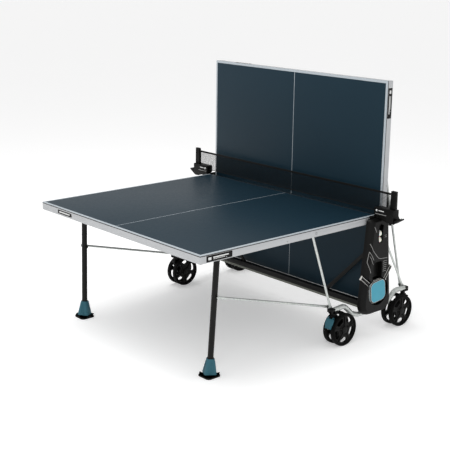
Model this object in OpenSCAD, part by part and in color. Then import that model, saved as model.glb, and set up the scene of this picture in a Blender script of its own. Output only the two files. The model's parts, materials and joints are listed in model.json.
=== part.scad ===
// Outdoor folding table-tennis table on a rolling chassis.
// The front half is down in play and the rear half is folded up behind the net.
// Each half hangs on two carriages that slide in the side plates of the chassis.

/* [Playing surface] */
// Length of the whole playing surface
table_l = 2740; // [2300:10:3300]
// Width of the playing surface
table_w = 1525; // [1250:5:1830]
// Height of the playing surface above the floor
table_h = 760; // [740:5:785]
// Gap between the two halves at the net
half_gap = 3; // [2:0.5:6]
// Thickness of each playing sheet
sheet_t = 5; // [4:0.5:8]
// Depth of the rail under the sheet
rail_d = 43; // [36:1:52]
// Wall of the rails
rail_t = 2.5; // [2:0.5:4]
// Width of the rails' flanges
rail_flange = 18; // [12:1:19]
// Width of the ribs under the sheet
rib_w = 30; // [20:1:40]

/* [Folding] */
// Distance of a folded half's playing face from the net plane
store_y = 48; // [44:1:60]
// Height of a folded half's lower edge
store_z = 183; // [170:1:200]
// Set-in of the carriage pin from the half's inner edge
pin_y = 38.5; // [34:0.5:44]
// Drop of the carriage pin below the playing surface
pin_drop = 24; // [20:1:28]
// Radius of the carriage hinge pin
pin_r = 8; // [6:0.5:10]
// Width of the carriage tongue
tongue_w = 12; // [10:1:16]
// Length of the carriage tongue
tongue_l = 30; // [24:1:34]
// Distance of the strut pivot from the net plane
strut_y = 515; // [480:5:560]
// Width of a strut
strut_w = 16; // [12:1:20]
// Thickness of a strut
strut_t = 8; // [6:1:9]

/* [Legs] */
// Set-in of the leg hinge from the half's outer edge
leg_set_in = 233; // [226:1:320]
// Set-in of the leg hinge from the table's side
leg_side_in = 124.5; // [100:0.5:160]
// Radius of a leg tube
leg_r = 17; // [13:0.5:20]
// Distance that the foot stands out past the hinge
leg_kick = 40; // [20:5:60]
// Distance that the foot stands in from the hinge, sideways
leg_lean = 21; // [0:1:40]
// Angle of a folded leg from upright
leg_stow = 19.5; // [16:0.5:22]
// Side of a square foot pad
pad_w = 96; // [80:2:116]
// Thickness of a foot pad
pad_t = 13; // [10:1:18]
// Height of the sleeve on a leg's lower end
sleeve_h = 92; // [70:2:120]
// Distance of the link rod's bolt along the leg
rod_at = 264; // [240:2:300]
// Radius of a link rod
rod_r = 7; // [5:0.5:9]

/* [Chassis] */
// Width and height of the cross beam
beam_w = 33; // [28:1:40]
// Height of the cross beam's lower face
beam_z = 166; // [160:1:175]
// Height of the lower rail under the beam
low_rail_h = 16; // [12:1:18]
// Radius of a wheel bar
bar_r = 15; // [12:0.5:16]
// Height of the strut's foot above the floor
strut_foot_z = 240; // [236:1:250]
// Thickness of a side plate
plate_t = 4; // [3:0.5:6]
// Depth of a side cover
pod_d = 44; // [42:1:56]
// Wall of a side cover
pod_wall = 3; // [2:0.5:4]

/* [Casters] */
// Diameter of a wheel
wheel_d = 200; // [160:2:204]
// Width of one wheel of a pair
wheel_w = 30; // [20:1:40]
// Space between the two wheels of a pair
wheel_gap = 30; // [26:1:40]
// Distance of the axle from the swivel axis
trail = 53; // [40:1:70]
// Number of spokes
spokes = 5; // [3:1:8]
// Radius of a caster stem
stem_r = 9; // [7:0.5:10]
// Radius of an axle
axle_r = 8; // [6:0.5:10]

/* [Net] */
// Height of the net above the playing surface
net_h = 152.5; // [130:0.5:185]
// Overhang of the net past each side
net_over = 152.5; // [130:0.5:185]
// Height of the lower cord above the playing surface
net_low = 28; // [20:1:40]
// Height of the top tape
tape_h = 13; // [10:1:18]
// Width of a net post
post_w = 43; // [36:1:50]

/* [Bats and balls] */
// Radius of a ball
ball_r = 20; // [19:0.5:20]
// Side of a bat's square blade
bat_w = 142; // [120:2:150]
// Thickness of a bat
bat_t = 9; // [7:0.5:10]

/* [Hidden] */
$fn = 48;
fit = 0.05;      // radial clearance of a running pin
slide_gap = 0.4; // clearance beside a sliding piece
side_gap = 2;    // clearance between pieces that pass each other

// Playing surface
half_w = table_w / 2;
half_l = table_l / 2;
inner_y = half_gap / 2;
sheet_z = table_h - sheet_t;
rail_z = sheet_z - rail_d;
shadow_gap = 1.2;
rib_h = 32;
rib_wall = 1.5;
rib_places = [250, 740, half_l - 180];

// Where a point of a half lies when the half is folded up
function folded(p) = [store_y + table_h - p[1], store_z + p[0]];

// Carriage guide line, as y and z
pin_play = [inner_y + pin_y, table_h - pin_drop];
pin_fold = folded(pin_play);
guide = pin_fold - pin_play;
guide_angle = atan2(guide[1], guide[0]);

// Struts: the foot is placed so that both ends of the fold fit one length
strut_play = [strut_y, table_h - pin_drop - 2];
strut_fold = folded(strut_play);
strut_foot = [
    (strut_play * strut_play - strut_fold * strut_fold
        - 2 * strut_foot_z * (strut_play[1] - strut_fold[1]))
        / (2 * (strut_play[0] - strut_fold[0])),
    strut_foot_z
];
strut_l = norm(strut_play - strut_foot);
strut_eye_gap = 1;
bar_x = half_w - 12.5;
head_w = 32;
strut_x = bar_x - head_w / 2 - strut_eye_gap - strut_t / 2;
strut_eye_r = 12;
strut_pin_r = 6;

// Legs
leg_x = half_w - leg_side_in;
leg_play = [half_l - leg_set_in, table_h - 35];
leg_fold = folded(leg_play);
leg_tilt = atan2(leg_kick, leg_play[1]);
leg_turn = leg_stow - leg_tilt;
leg_foot = [leg_x - leg_lean, leg_kick, -leg_play[1]];
leg_up = [leg_lean, -leg_kick, leg_play[1]] / norm(leg_foot - [leg_x, 0, 0]);
leg_pin_r = 6;
ear_t = 4;
ear_half = 30;
pad_stem_r = 9;
sleeve_low_r = 37;
sleeve_z = pad_t + 4;

// Wheel bars
bar_end = strut_foot[0] + 22;
bar_low_z = beam_z - bar_r;
head_l = 56;
head_z = 208;
head_h = strut_foot_z + 12 - head_z;
stem_y = strut_foot[0] - 15;

// Braces
brace_reach = 372;
brace_depth = 24;
brace_t = 9;

// Link rods
rod_foot = strut_foot;
rod_play = leg_play + rod_at * [sin(leg_tilt), -cos(leg_tilt)];
rod_fold = leg_fold + rod_at * [sin(leg_stow), -cos(leg_stow)];
rod_l = norm(rod_play - rod_foot);
rod_pin_r = 5;
rod_eye_t = 7;
rod_eye_r = 11;
rod_flat_l = 34;
bracket_t = 5;
bracket_w = 22;
strut_head_t = 3;
bracket_x = strut_x - strut_t / 2 - strut_head_t - side_gap - bracket_t;
rod_x = bracket_x - side_gap / 2 - rod_eye_t / 2;
leg_x_at_rod = leg_x - leg_lean * rod_at / norm([leg_kick, leg_play[1]]);
rod_leg_x = leg_x_at_rod + leg_r + 14;

// Side plates and covers
plate_x = half_w + 7.5;
pod_x = plate_x + plate_t;
plate_top = table_h + 4;
plate_bottom = beam_z - 4;
pod_drop = 12;
pod_top = table_h - pod_drop;
pod_bottom = beam_z - 14;
pod_top_half = 84;    // half-width of the cover's top
pod_low_half = 130;   // half-width of the cover's lower end
pod_top_round = 22;
pod_low_round = 70;
pod_set_in = [0, 6, 30]; // narrowing at the plate, at the shoulder and at the outer face
pod_shoulder = 0.55;  // where the shoulder lies, as a share of the depth
carriage_head_l = 2 * (pin_drop - pod_drop - pod_wall - 1); // clear of the cover's top wall
carriage_pin_in = 14;
ball_x = pod_x + pod_d - ball_r - 2;
ball_y = -6;
ball_z = table_h - 146;
ball_gap = 0.5;
tube_r = ball_r + 0.6;
tube_wall = 2.5;
bat_gap = 1;
bat_floor_x = pod_x + pod_d - 2 * (bat_t + bat_gap) - 3;
bat_reach = 182;
bat_off = 4;
inner_angle = 142;
outer_angle = 52;
recess_y = -8;
recess_z = 296;
recess_r = bat_w / 2 + 18;
bat_corner = 40;
handle_w = 28;
slot_w = handle_w + 8;
tube_l = 122;
well = [[-48, 30], recess_r, 190]; // finger well: sides, lower and upper end from the recess

// Casters
wheel_r = wheel_d / 2;
axle_y = stem_y - trail;
rim_t = 18;
web_t = 14;
fork_t = wheel_gap - 6;
brake_gap = 4;
brake_t = 5;
brake_w = 60;
brake_low = 42; // angle of the blade's lower edge round the wheel
brake_pin_off = 11;
brake_pin_r = 5;
brake_pin = [axle_y, wheel_r] + (wheel_r + brake_pin_off) * [cos(45), sin(45)];

// Net
net_top = table_h + net_h;
net_bottom = table_h + net_low;
post_x = half_w + net_over;
arm_top = table_h + 56;
arm_t = 50;
lever_pin = [post_x - 34, table_h - 16];
lever_pin_r = 4;
lever_w = 38;

// The origin is midway between the front edge and the rearmost piece
rear_reach = max(
    axle_y + wheel_r + brake_gap + brake_t, bar_end,
    leg_fold[0] + (leg_kick + pad_w / 2) * cos(leg_turn) + leg_play[1] * sin(leg_turn)
);
y_mid = (half_l - rear_reach) / 2;

steel = "#bfc4c4";
black = "#1e1e1d";
blue = "#24323d";
grey = "#a9abaa";
teal = "#2f6f80";

// ---- placing ----

module place() {
    translate([0, y_mid, 0]) children();
}

module both_sides() {
    children();
    mirror([1, 0, 0]) children();
}

module on_side(sx) {
    mirror([sx < 0 ? 1 : 0, 0, 0]) children();
}

module at_end(sy) {
    mirror([0, sy < 0 ? 1 : 0, 0]) children();
}

// A half's own pieces, drawn in play at +y
module in_half(rear) {
    if (rear) {
        translate([0, store_y + table_h, store_z]) rotate([90, 0, 0]) children();
    } else {
        mirror([0, 1, 0]) children();
    }
}

// Children's local +y runs from point p towards point q in the y-z plane
module along(p, q) {
    d = q - p;
    translate([0, p[0], p[1]]) rotate([atan2(d[1], d[0]), 0, 0]) children();
}

// Children are drawn round the leg hinge, in play at +y
module at_leg(rear) {
    if (rear) {
        translate([0, leg_fold[0], leg_fold[1]]) rotate([leg_turn, 0, 0]) children();
    } else {
        mirror([0, 1, 0]) translate([0, leg_play[0], leg_play[1]]) children();
    }
}

// ---- shapes ----

module x_cyl(r, x0, x1, y = 0, z = 0) {
    translate([x0, y, z]) rotate([0, 90, 0]) cylinder(r = r, h = x1 - x0);
}

module box(from, to) {
    translate(from) cube(to - from);
}

// Round bar between two points, of radius r at a and r_end at b
module rod(a, b, r, r_end = 0) {
    d = b - a;
    translate(a) rotate([0, acos(d[2] / norm(d)), atan2(d[1], d[0])])
        cylinder(r1 = r, r2 = r_end > 0 ? r_end : r, h = norm(d));
}

// Extrudes a y-z outline along x
module x_slab(x0, x1) {
    translate([x0, 0, 0]) rotate([90, 0, 90]) linear_extrude(x1 - x0) children();
}

module round_square(w, r, h) {
    linear_extrude(h) hull() for (sx = [-1, 1], sy = [-1, 1])
        translate([sx * (w / 2 - r), sy * (w / 2 - r)]) circle(r = r, $fn = 32);
}

// Channel rail: web outside, two flanges inside, along y from y0 to y1
module rail_profile() {
    polygon([
        [0, 0], [rail_flange, 0], [rail_flange, rail_t], [rail_t, rail_t],
        [rail_t, rail_d - rail_t], [rail_flange, rail_d - rail_t], [rail_flange, rail_d],
        [shadow_gap, rail_d], [shadow_gap, rail_d - 2 * shadow_gap], [0, rail_d - 2 * shadow_gap]
    ]);
}

// ---- one half ----

module playing_sheet(rear) {
    color(blue) place() in_half(rear)
        box([-half_w, inner_y, sheet_z], [half_w, half_l, table_h]);
}

// Rail along x with its web at y 0 and its flanges towards +y, mitred at both ends
module mitred_rail(length) {
    over = 10;
    intersection() {
        translate([-length / 2 - over, 0, rail_z]) rotate([90, 0, 90])
            linear_extrude(length + 2 * over) rail_profile();
        translate([0, 0, rail_z - 1]) linear_extrude(rail_d + 2) polygon([
            [-length / 2 - over / 2, -over / 2], [length / 2 + over / 2, -over / 2],
            [length / 2 - 2 * rail_flange, 2 * rail_flange], [-length / 2 + 2 * rail_flange, 2 * rail_flange]
        ]);
    }
}

module end_rail(rear) {
    color(grey) place() in_half(rear) translate([0, half_l, 0]) rotate([0, 0, 180]) mitred_rail(table_w);
}

module inner_rail(rear) {
    color(grey) place() in_half(rear) translate([0, inner_y, 0]) mitred_rail(table_w);
}

module side_rails(rear) {
    color(grey) place() in_half(rear) both_sides() {
        difference() {
            translate([half_w, (half_l + inner_y) / 2, 0]) rotate([0, 0, 90]) mitred_rail(half_l - inner_y);
            x_cyl(pin_r + fit, half_w - 5, half_w + 1, pin_play[0], pin_play[1]);
        }
        // strut bolt with its head outside
        x_cyl(9, half_w, half_w + 3, strut_play[0], strut_play[1]);
        x_cyl(strut_pin_r, strut_x - strut_t / 2 - 5, half_w, strut_play[0], strut_play[1]);
        x_cyl(9, strut_x - strut_t / 2 - 8, strut_x - strut_t / 2 - 1, strut_play[0], strut_play[1]);
    }
}

module ribs(rear) {
    rib_x = half_w - rail_t;
    rib_z = sheet_z - rib_h;
    color(black) place() in_half(rear) for (y = rib_places) difference() {
        box([-rib_x, y - rib_w / 2, rib_z], [rib_x, y + rib_w / 2, sheet_z]);
        box([-rib_x - 1, y - rib_w / 2 + rib_wall, rib_z + rib_wall],
            [rib_x + 1, y + rib_w / 2 - rib_wall, sheet_z - rib_wall]);
        for (s = [-1, 1]) translate([s * (rib_x - rail_flange / 2), y, 0])
            box([-rail_flange / 2 - 1, -rib_w, sheet_z - rail_t], [rail_flange / 2 + 1, rib_w, sheet_z + 1]);
    }
}

module leg_hinges(rear) {
    ear_x = leg_r + 1;
    color(black) place() in_half(rear) both_sides() {
        for (s = [-1, 1]) translate([leg_x + s * (ear_x + ear_t / 2), leg_play[0], 0]) {
            box([-ear_t / 2, -ear_half, rail_z + 6], [ear_t / 2, ear_half, sheet_z]);
        }
        box([leg_x - ear_x - ear_t, leg_play[0] - ear_half, sheet_z - 4],
            [leg_x + ear_x + ear_t, leg_play[0] + ear_half, sheet_z]);
        x_cyl(leg_pin_r, leg_x - ear_x - ear_t - 3, leg_x + ear_x + ear_t + 3, leg_play[0], leg_play[1]);
    }
}

module carriage_shape() {
    // hinge pin into the rail
    x_cyl(pin_r, half_w - carriage_pin_in, half_w + 1, 0, 0);
    // slider between the rail and the side plate, with a short head behind the plate
    rotate([guide_angle, 0, 0]) {
        x_slab(half_w + 0.8, plate_x - 0.6) square([tongue_l + 10, tongue_w + 12], center = true);
        x_slab(plate_x - 1, pod_x - 0.5) square([tongue_l, tongue_w], center = true);
        x_slab(pod_x - 1, pod_x + 1.5) square([carriage_head_l, tongue_w], center = true);
        x_slab(pod_x + 1, pod_x + 4) square([carriage_head_l, tongue_w + 8], center = true);
    }
}

module carriages(rear) {
    color(black) place() both_sides() {
        if (rear) {
            translate([0, pin_fold[0], pin_fold[1]]) carriage_shape();
        } else {
            mirror([0, 1, 0]) translate([0, pin_play[0], pin_play[1]]) carriage_shape();
        }
    }
}

module strut_shape() {
    x0 = strut_x - strut_t / 2;
    x1 = strut_x + strut_t / 2;
    difference() {
        union() {
            x_cyl(strut_eye_r, x0, x1, 0, 0);
            x_cyl(strut_eye_r, x0, x1, strut_l, 0);
            box([x0, 0, -strut_w / 2], [x1, strut_l, strut_w / 2]);
            // bolt head of the lower pivot
            x_cyl(8, x0 - strut_head_t, x0 + 1, strut_l, 0);
        }
        x_cyl(strut_pin_r + fit, x0 - 1, x1 + 1, 0, 0);
    }
}

module struts(rear) {
    color(steel) place() both_sides() at_end(rear ? 1 : -1)
        along(rear ? strut_fold : strut_play, strut_foot) strut_shape();
}

// Leg round its hinge: +z is up in play
module leg_shape() {
    top = [leg_x, 0, 0];
    low = leg_foot + leg_up * (pad_t + 20);
    difference() {
        union() {
            x_cyl(leg_r + 2, leg_x - leg_r, leg_x + leg_r, 0, 0);
            rod(top, low, leg_r);
            // spacer that the link rod lies against
            translate(top - leg_up * rod_at) x_cyl(8, 0, rod_leg_x - leg_x_at_rod - rod_eye_t / 2 - 1, 0, 0);
            translate(top - leg_up * rod_at) x_cyl(9, -leg_r - 4, -leg_r + 3, 0, 0);
        }
        rod(top - leg_up * (leg_r + 14), low - leg_up * 5, leg_r - 2);
        x_cyl(leg_pin_r + fit, leg_x - leg_r - 1, leg_x + leg_r + 1, 0, 0);
    }
}

module leg(rear, sx) {
    color(black) place() on_side(sx) at_leg(rear) leg_shape();
}

module leg_sleeves(rear) {
    color(teal) place() both_sides() at_leg(rear) difference() {
        rod(leg_foot + leg_up * sleeve_z, leg_foot + leg_up * (pad_t + sleeve_h), sleeve_low_r, leg_r + 5);
        rod(leg_foot - leg_up * 20, leg_foot + leg_up * (sleeve_h + 60), leg_r + 0.1);
    }
}

module foot(rear, sx) {
    color(black) place() on_side(sx) at_leg(rear)
        translate(leg_foot) {
            round_square(pad_w, 16, pad_t);
            cylinder(r = pad_stem_r, h = pad_t + 34);
        }
}

// Link rod from its foot, local +y outwards, with flattened ends
module link_rod_shape() {
    flat = rod_r + 2;
    difference() {
        union() {
            x_cyl(rod_eye_r, rod_x - rod_eye_t / 2, rod_x + rod_eye_t / 2, 0, 0);
            x_cyl(rod_eye_r, rod_leg_x - rod_eye_t / 2, rod_leg_x + rod_eye_t / 2, rod_l, 0);
            box([rod_x - rod_eye_t / 2, 0, -flat], [rod_x + rod_eye_t / 2, rod_flat_l, flat]);
            box([rod_leg_x - rod_eye_t / 2, rod_l - rod_flat_l, -flat],
                [rod_leg_x + rod_eye_t / 2, rod_l, flat]);
            rod([rod_x, rod_flat_l - 4, 0], [rod_leg_x, rod_l - rod_flat_l + 4, 0], rod_r);
            // bolt head at the leg
            x_cyl(8, rod_leg_x + rod_eye_t / 2 - 1, rod_leg_x + rod_eye_t / 2 + 4, rod_l, 0);
        }
        x_cyl(rod_pin_r + fit, rod_x - rod_r - 1, rod_x + rod_r + 1, 0, 0);
    }
}

module link_rods(rear) {
    color(steel) place() both_sides() at_end(rear ? 1 : -1)
        along(rod_foot, rear ? rod_fold : rod_play) link_rod_shape();
}

// ---- chassis ----

module cross_beam() {
    wall = 2;
    color(black) place() difference() {
        box([-plate_x, -beam_w / 2, beam_z], [plate_x, beam_w / 2, beam_z + beam_w]);
        box([-plate_x - 1, -beam_w / 2 + wall, beam_z + wall],
            [plate_x + 1, beam_w / 2 - wall, beam_z + beam_w - wall]);
    }
}

module lower_rail() {
    x = bar_x - bar_r;
    color(steel) place() box([-x, -15, beam_z - low_rail_h], [x, 15, beam_z]);
}

module guide_slot() {
    length = norm(guide) + tongue_l + 2 * slide_gap;
    translate([0, (pin_play[0] + pin_fold[0]) / 2, (pin_play[1] + pin_fold[1]) / 2])
        rotate([guide_angle, 0, 0])
            x_slab(plate_x - 1, pod_x + 1) square([length, tongue_w + 2 * slide_gap], center = true);
}

module upright(sx) {
    top_w = pin_play[0] + tongue_w / 2 + 18;
    low_w = pin_fold[0] + tongue_w / 2 + 22;
    corner = 30;
    color(black) place() on_side(sx) difference() {
        x_slab(plate_x, pod_x) polygon([
            [-top_w, plate_top], [-low_w, pin_fold[1]],
            [-low_w, plate_bottom + corner], [-low_w + corner, plate_bottom],
            [low_w - corner, plate_bottom], [low_w, plate_bottom + corner],
            [low_w, pin_fold[1]], [top_w, plate_top]
        ]);
        guide_slot();
        mirror([0, 1, 0]) guide_slot();
    }
}

module braces() {
    foot_x = half_w - brace_reach;
    half = brace_depth / 2 * sqrt(2);
    top = beam_z + beam_w;
    rise = plate_x - foot_x;
    color(black) place() both_sides() rotate([90, 0, 0]) linear_extrude(brace_t, center = true)
        polygon([
            [foot_x - half, top], [foot_x + half, top],
            [plate_x, top + rise - half], [plate_x, top + rise + half]
        ]);
}

function bar_route() = [
    [bar_end - head_l / 2, strut_foot_z - 10], [bar_end - head_l - 67, strut_foot_z - 17],
    [bar_end - head_l - 137, beam_z + 12], [bar_end - head_l - 184, bar_low_z]
];

module bar_path(r) {
    route = bar_route();
    for (s = [-1, 1]) {
        for (i = [0 : len(route) - 2])
            rod([bar_x, s * route[i][0], route[i][1]], [bar_x, s * route[i + 1][0], route[i + 1][1]], r);
        for (i = [1 : len(route) - 1])
            translate([bar_x, s * route[i][0], route[i][1]]) rotate([90, 0, 0]) sphere(r = r + 0.3);
    }
    last = route[len(route) - 1];
    rod([bar_x, -last[0], last[1]], [bar_x, last[0], last[1]], r);
}

// Angle bracket that reaches under the strut's foot
module rod_bracket() {
    low = head_z + 1;
    shelf = strut_foot_z - strut_eye_r - side_gap;
    head_side = bar_x - head_w / 2 + 1;
    translate([0, rod_foot[0] + bracket_w / 2, 0]) rotate([90, 0, 0]) linear_extrude(bracket_w) polygon([
        [bracket_x, low], [head_side, low], [head_side, shelf],
        [bracket_x + bracket_t, shelf], [bracket_x + bracket_t, rod_foot[1] + bracket_w / 2],
        [bracket_x, rod_foot[1] + bracket_w / 2]
    ]);
}

module wheel_bar(sx) {
    color(steel) place() on_side(sx) {
        difference() {
            union() {
                bar_path(bar_r);
                for (s = [-1, 1]) box([bar_x - head_w / 2, s > 0 ? bar_end - head_l : -bar_end, head_z],
                    [bar_x + head_w / 2, s > 0 ? bar_end : head_l - bar_end, head_z + head_h]);
                // saddle under the beam
                box([bar_x - bar_r, -beam_w / 2, bar_low_z], [bar_x + bar_r, beam_w / 2, beam_z]);
            }
            for (s = [-1, 1]) translate([bar_x, s * stem_y, head_z - 1])
                cylinder(r = stem_r + fit, h = 25);
        }
        for (s = [-1, 1]) at_end(s) {
            rod_bracket();
            // pivot of the link rod, with its head
            x_cyl(rod_pin_r, rod_x - rod_eye_t / 2 - 2, bracket_x + 1, rod_foot[0], rod_foot[1]);
            x_cyl(8, rod_x - rod_eye_t / 2 - 6, rod_x - rod_eye_t / 2 - 1, rod_foot[0], rod_foot[1]);
        }
    }
}

// One layer of the side cover: an outline narrowed by inset
module pod_layer(x, inset, t) {
    top_r = max(8, pod_top_round - inset / 3);
    low_r = pod_low_round - inset / 2;
    top_y = pod_top_half - inset - top_r;
    low_y = pod_low_half - inset - low_r;
    for (s = [-1, 1]) {
        x_cyl(top_r, x, x + t, s * top_y, pod_top - inset / 2 - top_r, $fn = 32);
        x_cyl(low_r, x, x + t, s * low_y, pod_bottom + inset / 2 + low_r, $fn = 32);
    }
}

module pod_form(wall) {
    hull() {
        pod_layer(pod_x - (wall > 0 ? 1 : 0), pod_set_in[0] + wall, 1);
        pod_layer(pod_x + pod_d * pod_shoulder - wall, pod_set_in[1] + wall, 1);
        pod_layer(pod_x + pod_d - 1 - wall, pod_set_in[2] + wall, 1);
    }
}

module pod_shell(sx) {
    on_side(sx) difference() {
        pod_form(0);
        pod_form(pod_wall);
        // clearance for the net arm's foot
        box([pod_x - 1, -24, pod_top - 30], [pod_x + 20, 24, pod_top + 1]);
    }
}

module left_pod() {
    color(black) place() pod_shell(-1);
}

module bat_slot_shape(angle) {
    rotate([angle, 0, 0]) translate([0, 0, -slot_w / 2]) cube([60, 220, slot_w]);
}

module right_pod() {
    outer = pod_x + pod_d;
    color(black) place() difference() {
        union() {
            pod_shell(1);
            // ball tube
            intersection() {
                translate([ball_x, ball_y, ball_z - ball_r - tube_wall])
                    cylinder(r = tube_r + tube_wall, h = tube_l + 4);
                box([pod_x, -60, 0], [outer - 0.5, 60, table_h]);
            }
            // floor and wall of the bat recess
            intersection() {
                pod_form(0);
                difference() {
                    x_slab(bat_floor_x - 3, outer) translate([recess_y, recess_z]) circle(r = recess_r + 3);
                    x_slab(bat_floor_x, outer + 1) translate([recess_y, recess_z]) circle(r = recess_r);
                }
            }
        }
        translate([ball_x, ball_y, ball_z - ball_r - 0.1]) cylinder(r = tube_r, h = tube_l);
        // slot that shows the balls, and the hole that lets them out
        box([ball_x, ball_y - 15, ball_z - 14], [outer + 1, ball_y + 15, ball_z + 76]);
        x_cyl(ball_r + 2, ball_x, outer + 1, ball_y, ball_z + 78);
        // bat recess, its two handle channels and the finger well above it
        x_slab(bat_floor_x, outer + 1) translate([recess_y, recess_z]) circle(r = recess_r);
        translate([bat_floor_x, recess_y - bat_off, recess_z]) bat_slot_shape(inner_angle);
        translate([bat_floor_x, recess_y + bat_off, recess_z]) bat_slot_shape(outer_angle);
        box([bat_floor_x - 10, recess_y + well[0][0], recess_z + well[1]],
            [outer + 1, recess_y + well[0][1], recess_z + well[2]]);
    }
}

module balls() {
    color("white") place() for (i = [0, 1])
        translate([ball_x, ball_y, ball_z + i * (2 * ball_r + ball_gap)]) sphere(r = ball_r);
}

// Bat flat in the y-z plane, its handle along local +y
module bat_shape(x0) {
    x_slab(x0, x0 + bat_t) {
        rotate(45) hull() for (s = [-1, 1], t = [-1, 1])
            translate([t * (bat_w / 2 - bat_corner), s * (bat_w / 2 - bat_corner)])
                circle(r = bat_corner, $fn = 32);
        translate([bat_w / 2 - 15, -handle_w / 2]) square([bat_reach - bat_w / 2 + 15, handle_w]);
    }
}

module inner_bat() {
    color(teal) place() translate([0, recess_y - bat_off, recess_z - 2]) rotate([inner_angle, 0, 0])
        bat_shape(bat_floor_x + bat_gap);
}

module outer_bat() {
    color(teal) place() translate([0, recess_y + bat_off, recess_z - 2]) rotate([outer_angle, 0, 0])
        bat_shape(bat_floor_x + 2 * bat_gap + bat_t);
}

// ---- net ----

module net_arm(sx) {
    x0 = half_w + 6;
    color(black) place() on_side(sx) {
        difference() {
            translate([0, arm_t / 2, 0]) rotate([90, 0, 0]) linear_extrude(arm_t) polygon([
                [x0, arm_top], [post_x, arm_top], [post_x, table_h - 26], [post_x - 45, table_h - 26],
                [x0 + 6, table_h + 6], [x0, table_h + 14]
            ]);
            // pocket for the lever
            box([lever_pin[0] - 15, -lever_w / 2 - 0.5, lever_pin[1] - 20],
                [post_x + 4, lever_w / 2 + 0.5, lever_pin[1] + 12]);
        }
        // foot bolted to the side plate
        box([pod_x, -20, pod_top - 26], [pod_x + 12, 20, table_h + 12]);
        // lever pin
        translate([lever_pin[0], arm_t / 2, lever_pin[1]]) rotate([90, 0, 0])
            cylinder(r = lever_pin_r, h = arm_t);
    }
}

module net_post(sx) {
    color(black) place() on_side(sx) difference() {
        box([post_x - post_w, -9, arm_top], [post_x, 9, net_top + 15]);
        // slit that holds the end of the net
        box([post_x - post_w - 1, -2, arm_top - 1], [post_x - post_w + 16, 2, net_top + 16]);
    }
}

module net_mesh() {
    x = post_x - post_w + 15;
    color("#2c2c2c") place() rotate([90, 0, 0]) linear_extrude(1.2, center = true) polygon([
        [-x, net_top - tape_h], [x, net_top - tape_h], [x, arm_top + 2], [half_w, arm_top + 2],
        [half_w, net_bottom + 3], [-half_w, net_bottom + 3], [-half_w, arm_top + 2], [-x, arm_top + 2]
    ]);
}

module net_tape() {
    x = post_x - post_w + 15;
    color(black) place() box([-x, -1.6, net_top - tape_h], [x, 1.6, net_top]);
}

module net_cord() {
    x = half_w + 6;
    color(black) place() x_cyl(3, -x, x, 0, net_bottom);
}

module net_lever(sx) {
    color(black) place() on_side(sx) difference() {
        translate([0, lever_w / 2, 0]) rotate([90, 0, 0]) linear_extrude(lever_w) polygon([
            lever_pin + [-8, -10], lever_pin + [30, -12], lever_pin + [84, 22],
            lever_pin + [80, 30], lever_pin + [24, 6], lever_pin + [-8, 8]
        ]);
        translate([lever_pin[0], arm_t, lever_pin[1]]) rotate([90, 0, 0])
            cylinder(r = lever_pin_r + fit, h = 2 * arm_t);
    }
}

// ---- casters ----

module fork(sx, sy) {
    outline_r = 20;
    color(black) place() on_side(sx) at_end(sy) {
        x_slab(bar_x - fork_t / 2, bar_x + fork_t / 2) hull() {
            translate([axle_y, wheel_r]) circle(r = outline_r, $fn = 32);
            translate([stem_y, head_z - 34]) circle(r = outline_r, $fn = 32);
            translate(brake_pin - [8, 4]) circle(r = 7, $fn = 32);
        }
        translate([bar_x, stem_y, head_z - 22]) cylinder(r = 15, h = 21.5);
        translate([bar_x, stem_y, head_z - 4]) cylinder(r = stem_r, h = 26);
        reach = wheel_gap / 2 + wheel_w;
        x_cyl(axle_r, bar_x - reach + 2, bar_x + reach - 2, axle_y, wheel_r);
        x_cyl(brake_pin_r, bar_x - fork_t / 2 - 10, bar_x + fork_t / 2 + 10, brake_pin[0], brake_pin[1]);
    }
}

module wheel_window() {
    outer = wheel_r - rim_t - 2;
    inner = outer - 30;
    half_a = 180 / spokes * 0.6;
    intersection() {
        difference() {
            circle(r = outer);
            circle(r = inner);
        }
        polygon([[0, 0], 2 * outer * [cos(half_a), sin(half_a)], 2 * outer * [cos(half_a), -sin(half_a)]]);
    }
}

module wheel(x0) {
    difference() {
        x_cyl(wheel_r, x0, x0 + wheel_w, 0, 0, $fn = 96);
        // dished faces, with the hub left standing
        for (x = [x0 - 1, x0 + (wheel_w + web_t) / 2]) difference() {
            x_cyl(wheel_r - rim_t, x, x + (wheel_w - web_t) / 2 + 1, 0, 0, $fn = 96);
            x_cyl(22, x - 1, x + wheel_w, 0, 0);
        }
        for (i = [0 : spokes - 1]) rotate([i * 360 / spokes + 90, 0, 0])
            x_slab(x0 - 1, x0 + wheel_w + 1) wheel_window();
        x_cyl(axle_r + fit, x0 - 1, x0 + wheel_w + 1, 0, 0);
    }
}

module wheels(sx, sy) {
    color(black) place() on_side(sx) at_end(sy) translate([0, axle_y, wheel_r]) {
        wheel(bar_x - wheel_gap / 2 - wheel_w);
        wheel(bar_x + wheel_gap / 2);
    }
}

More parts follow.
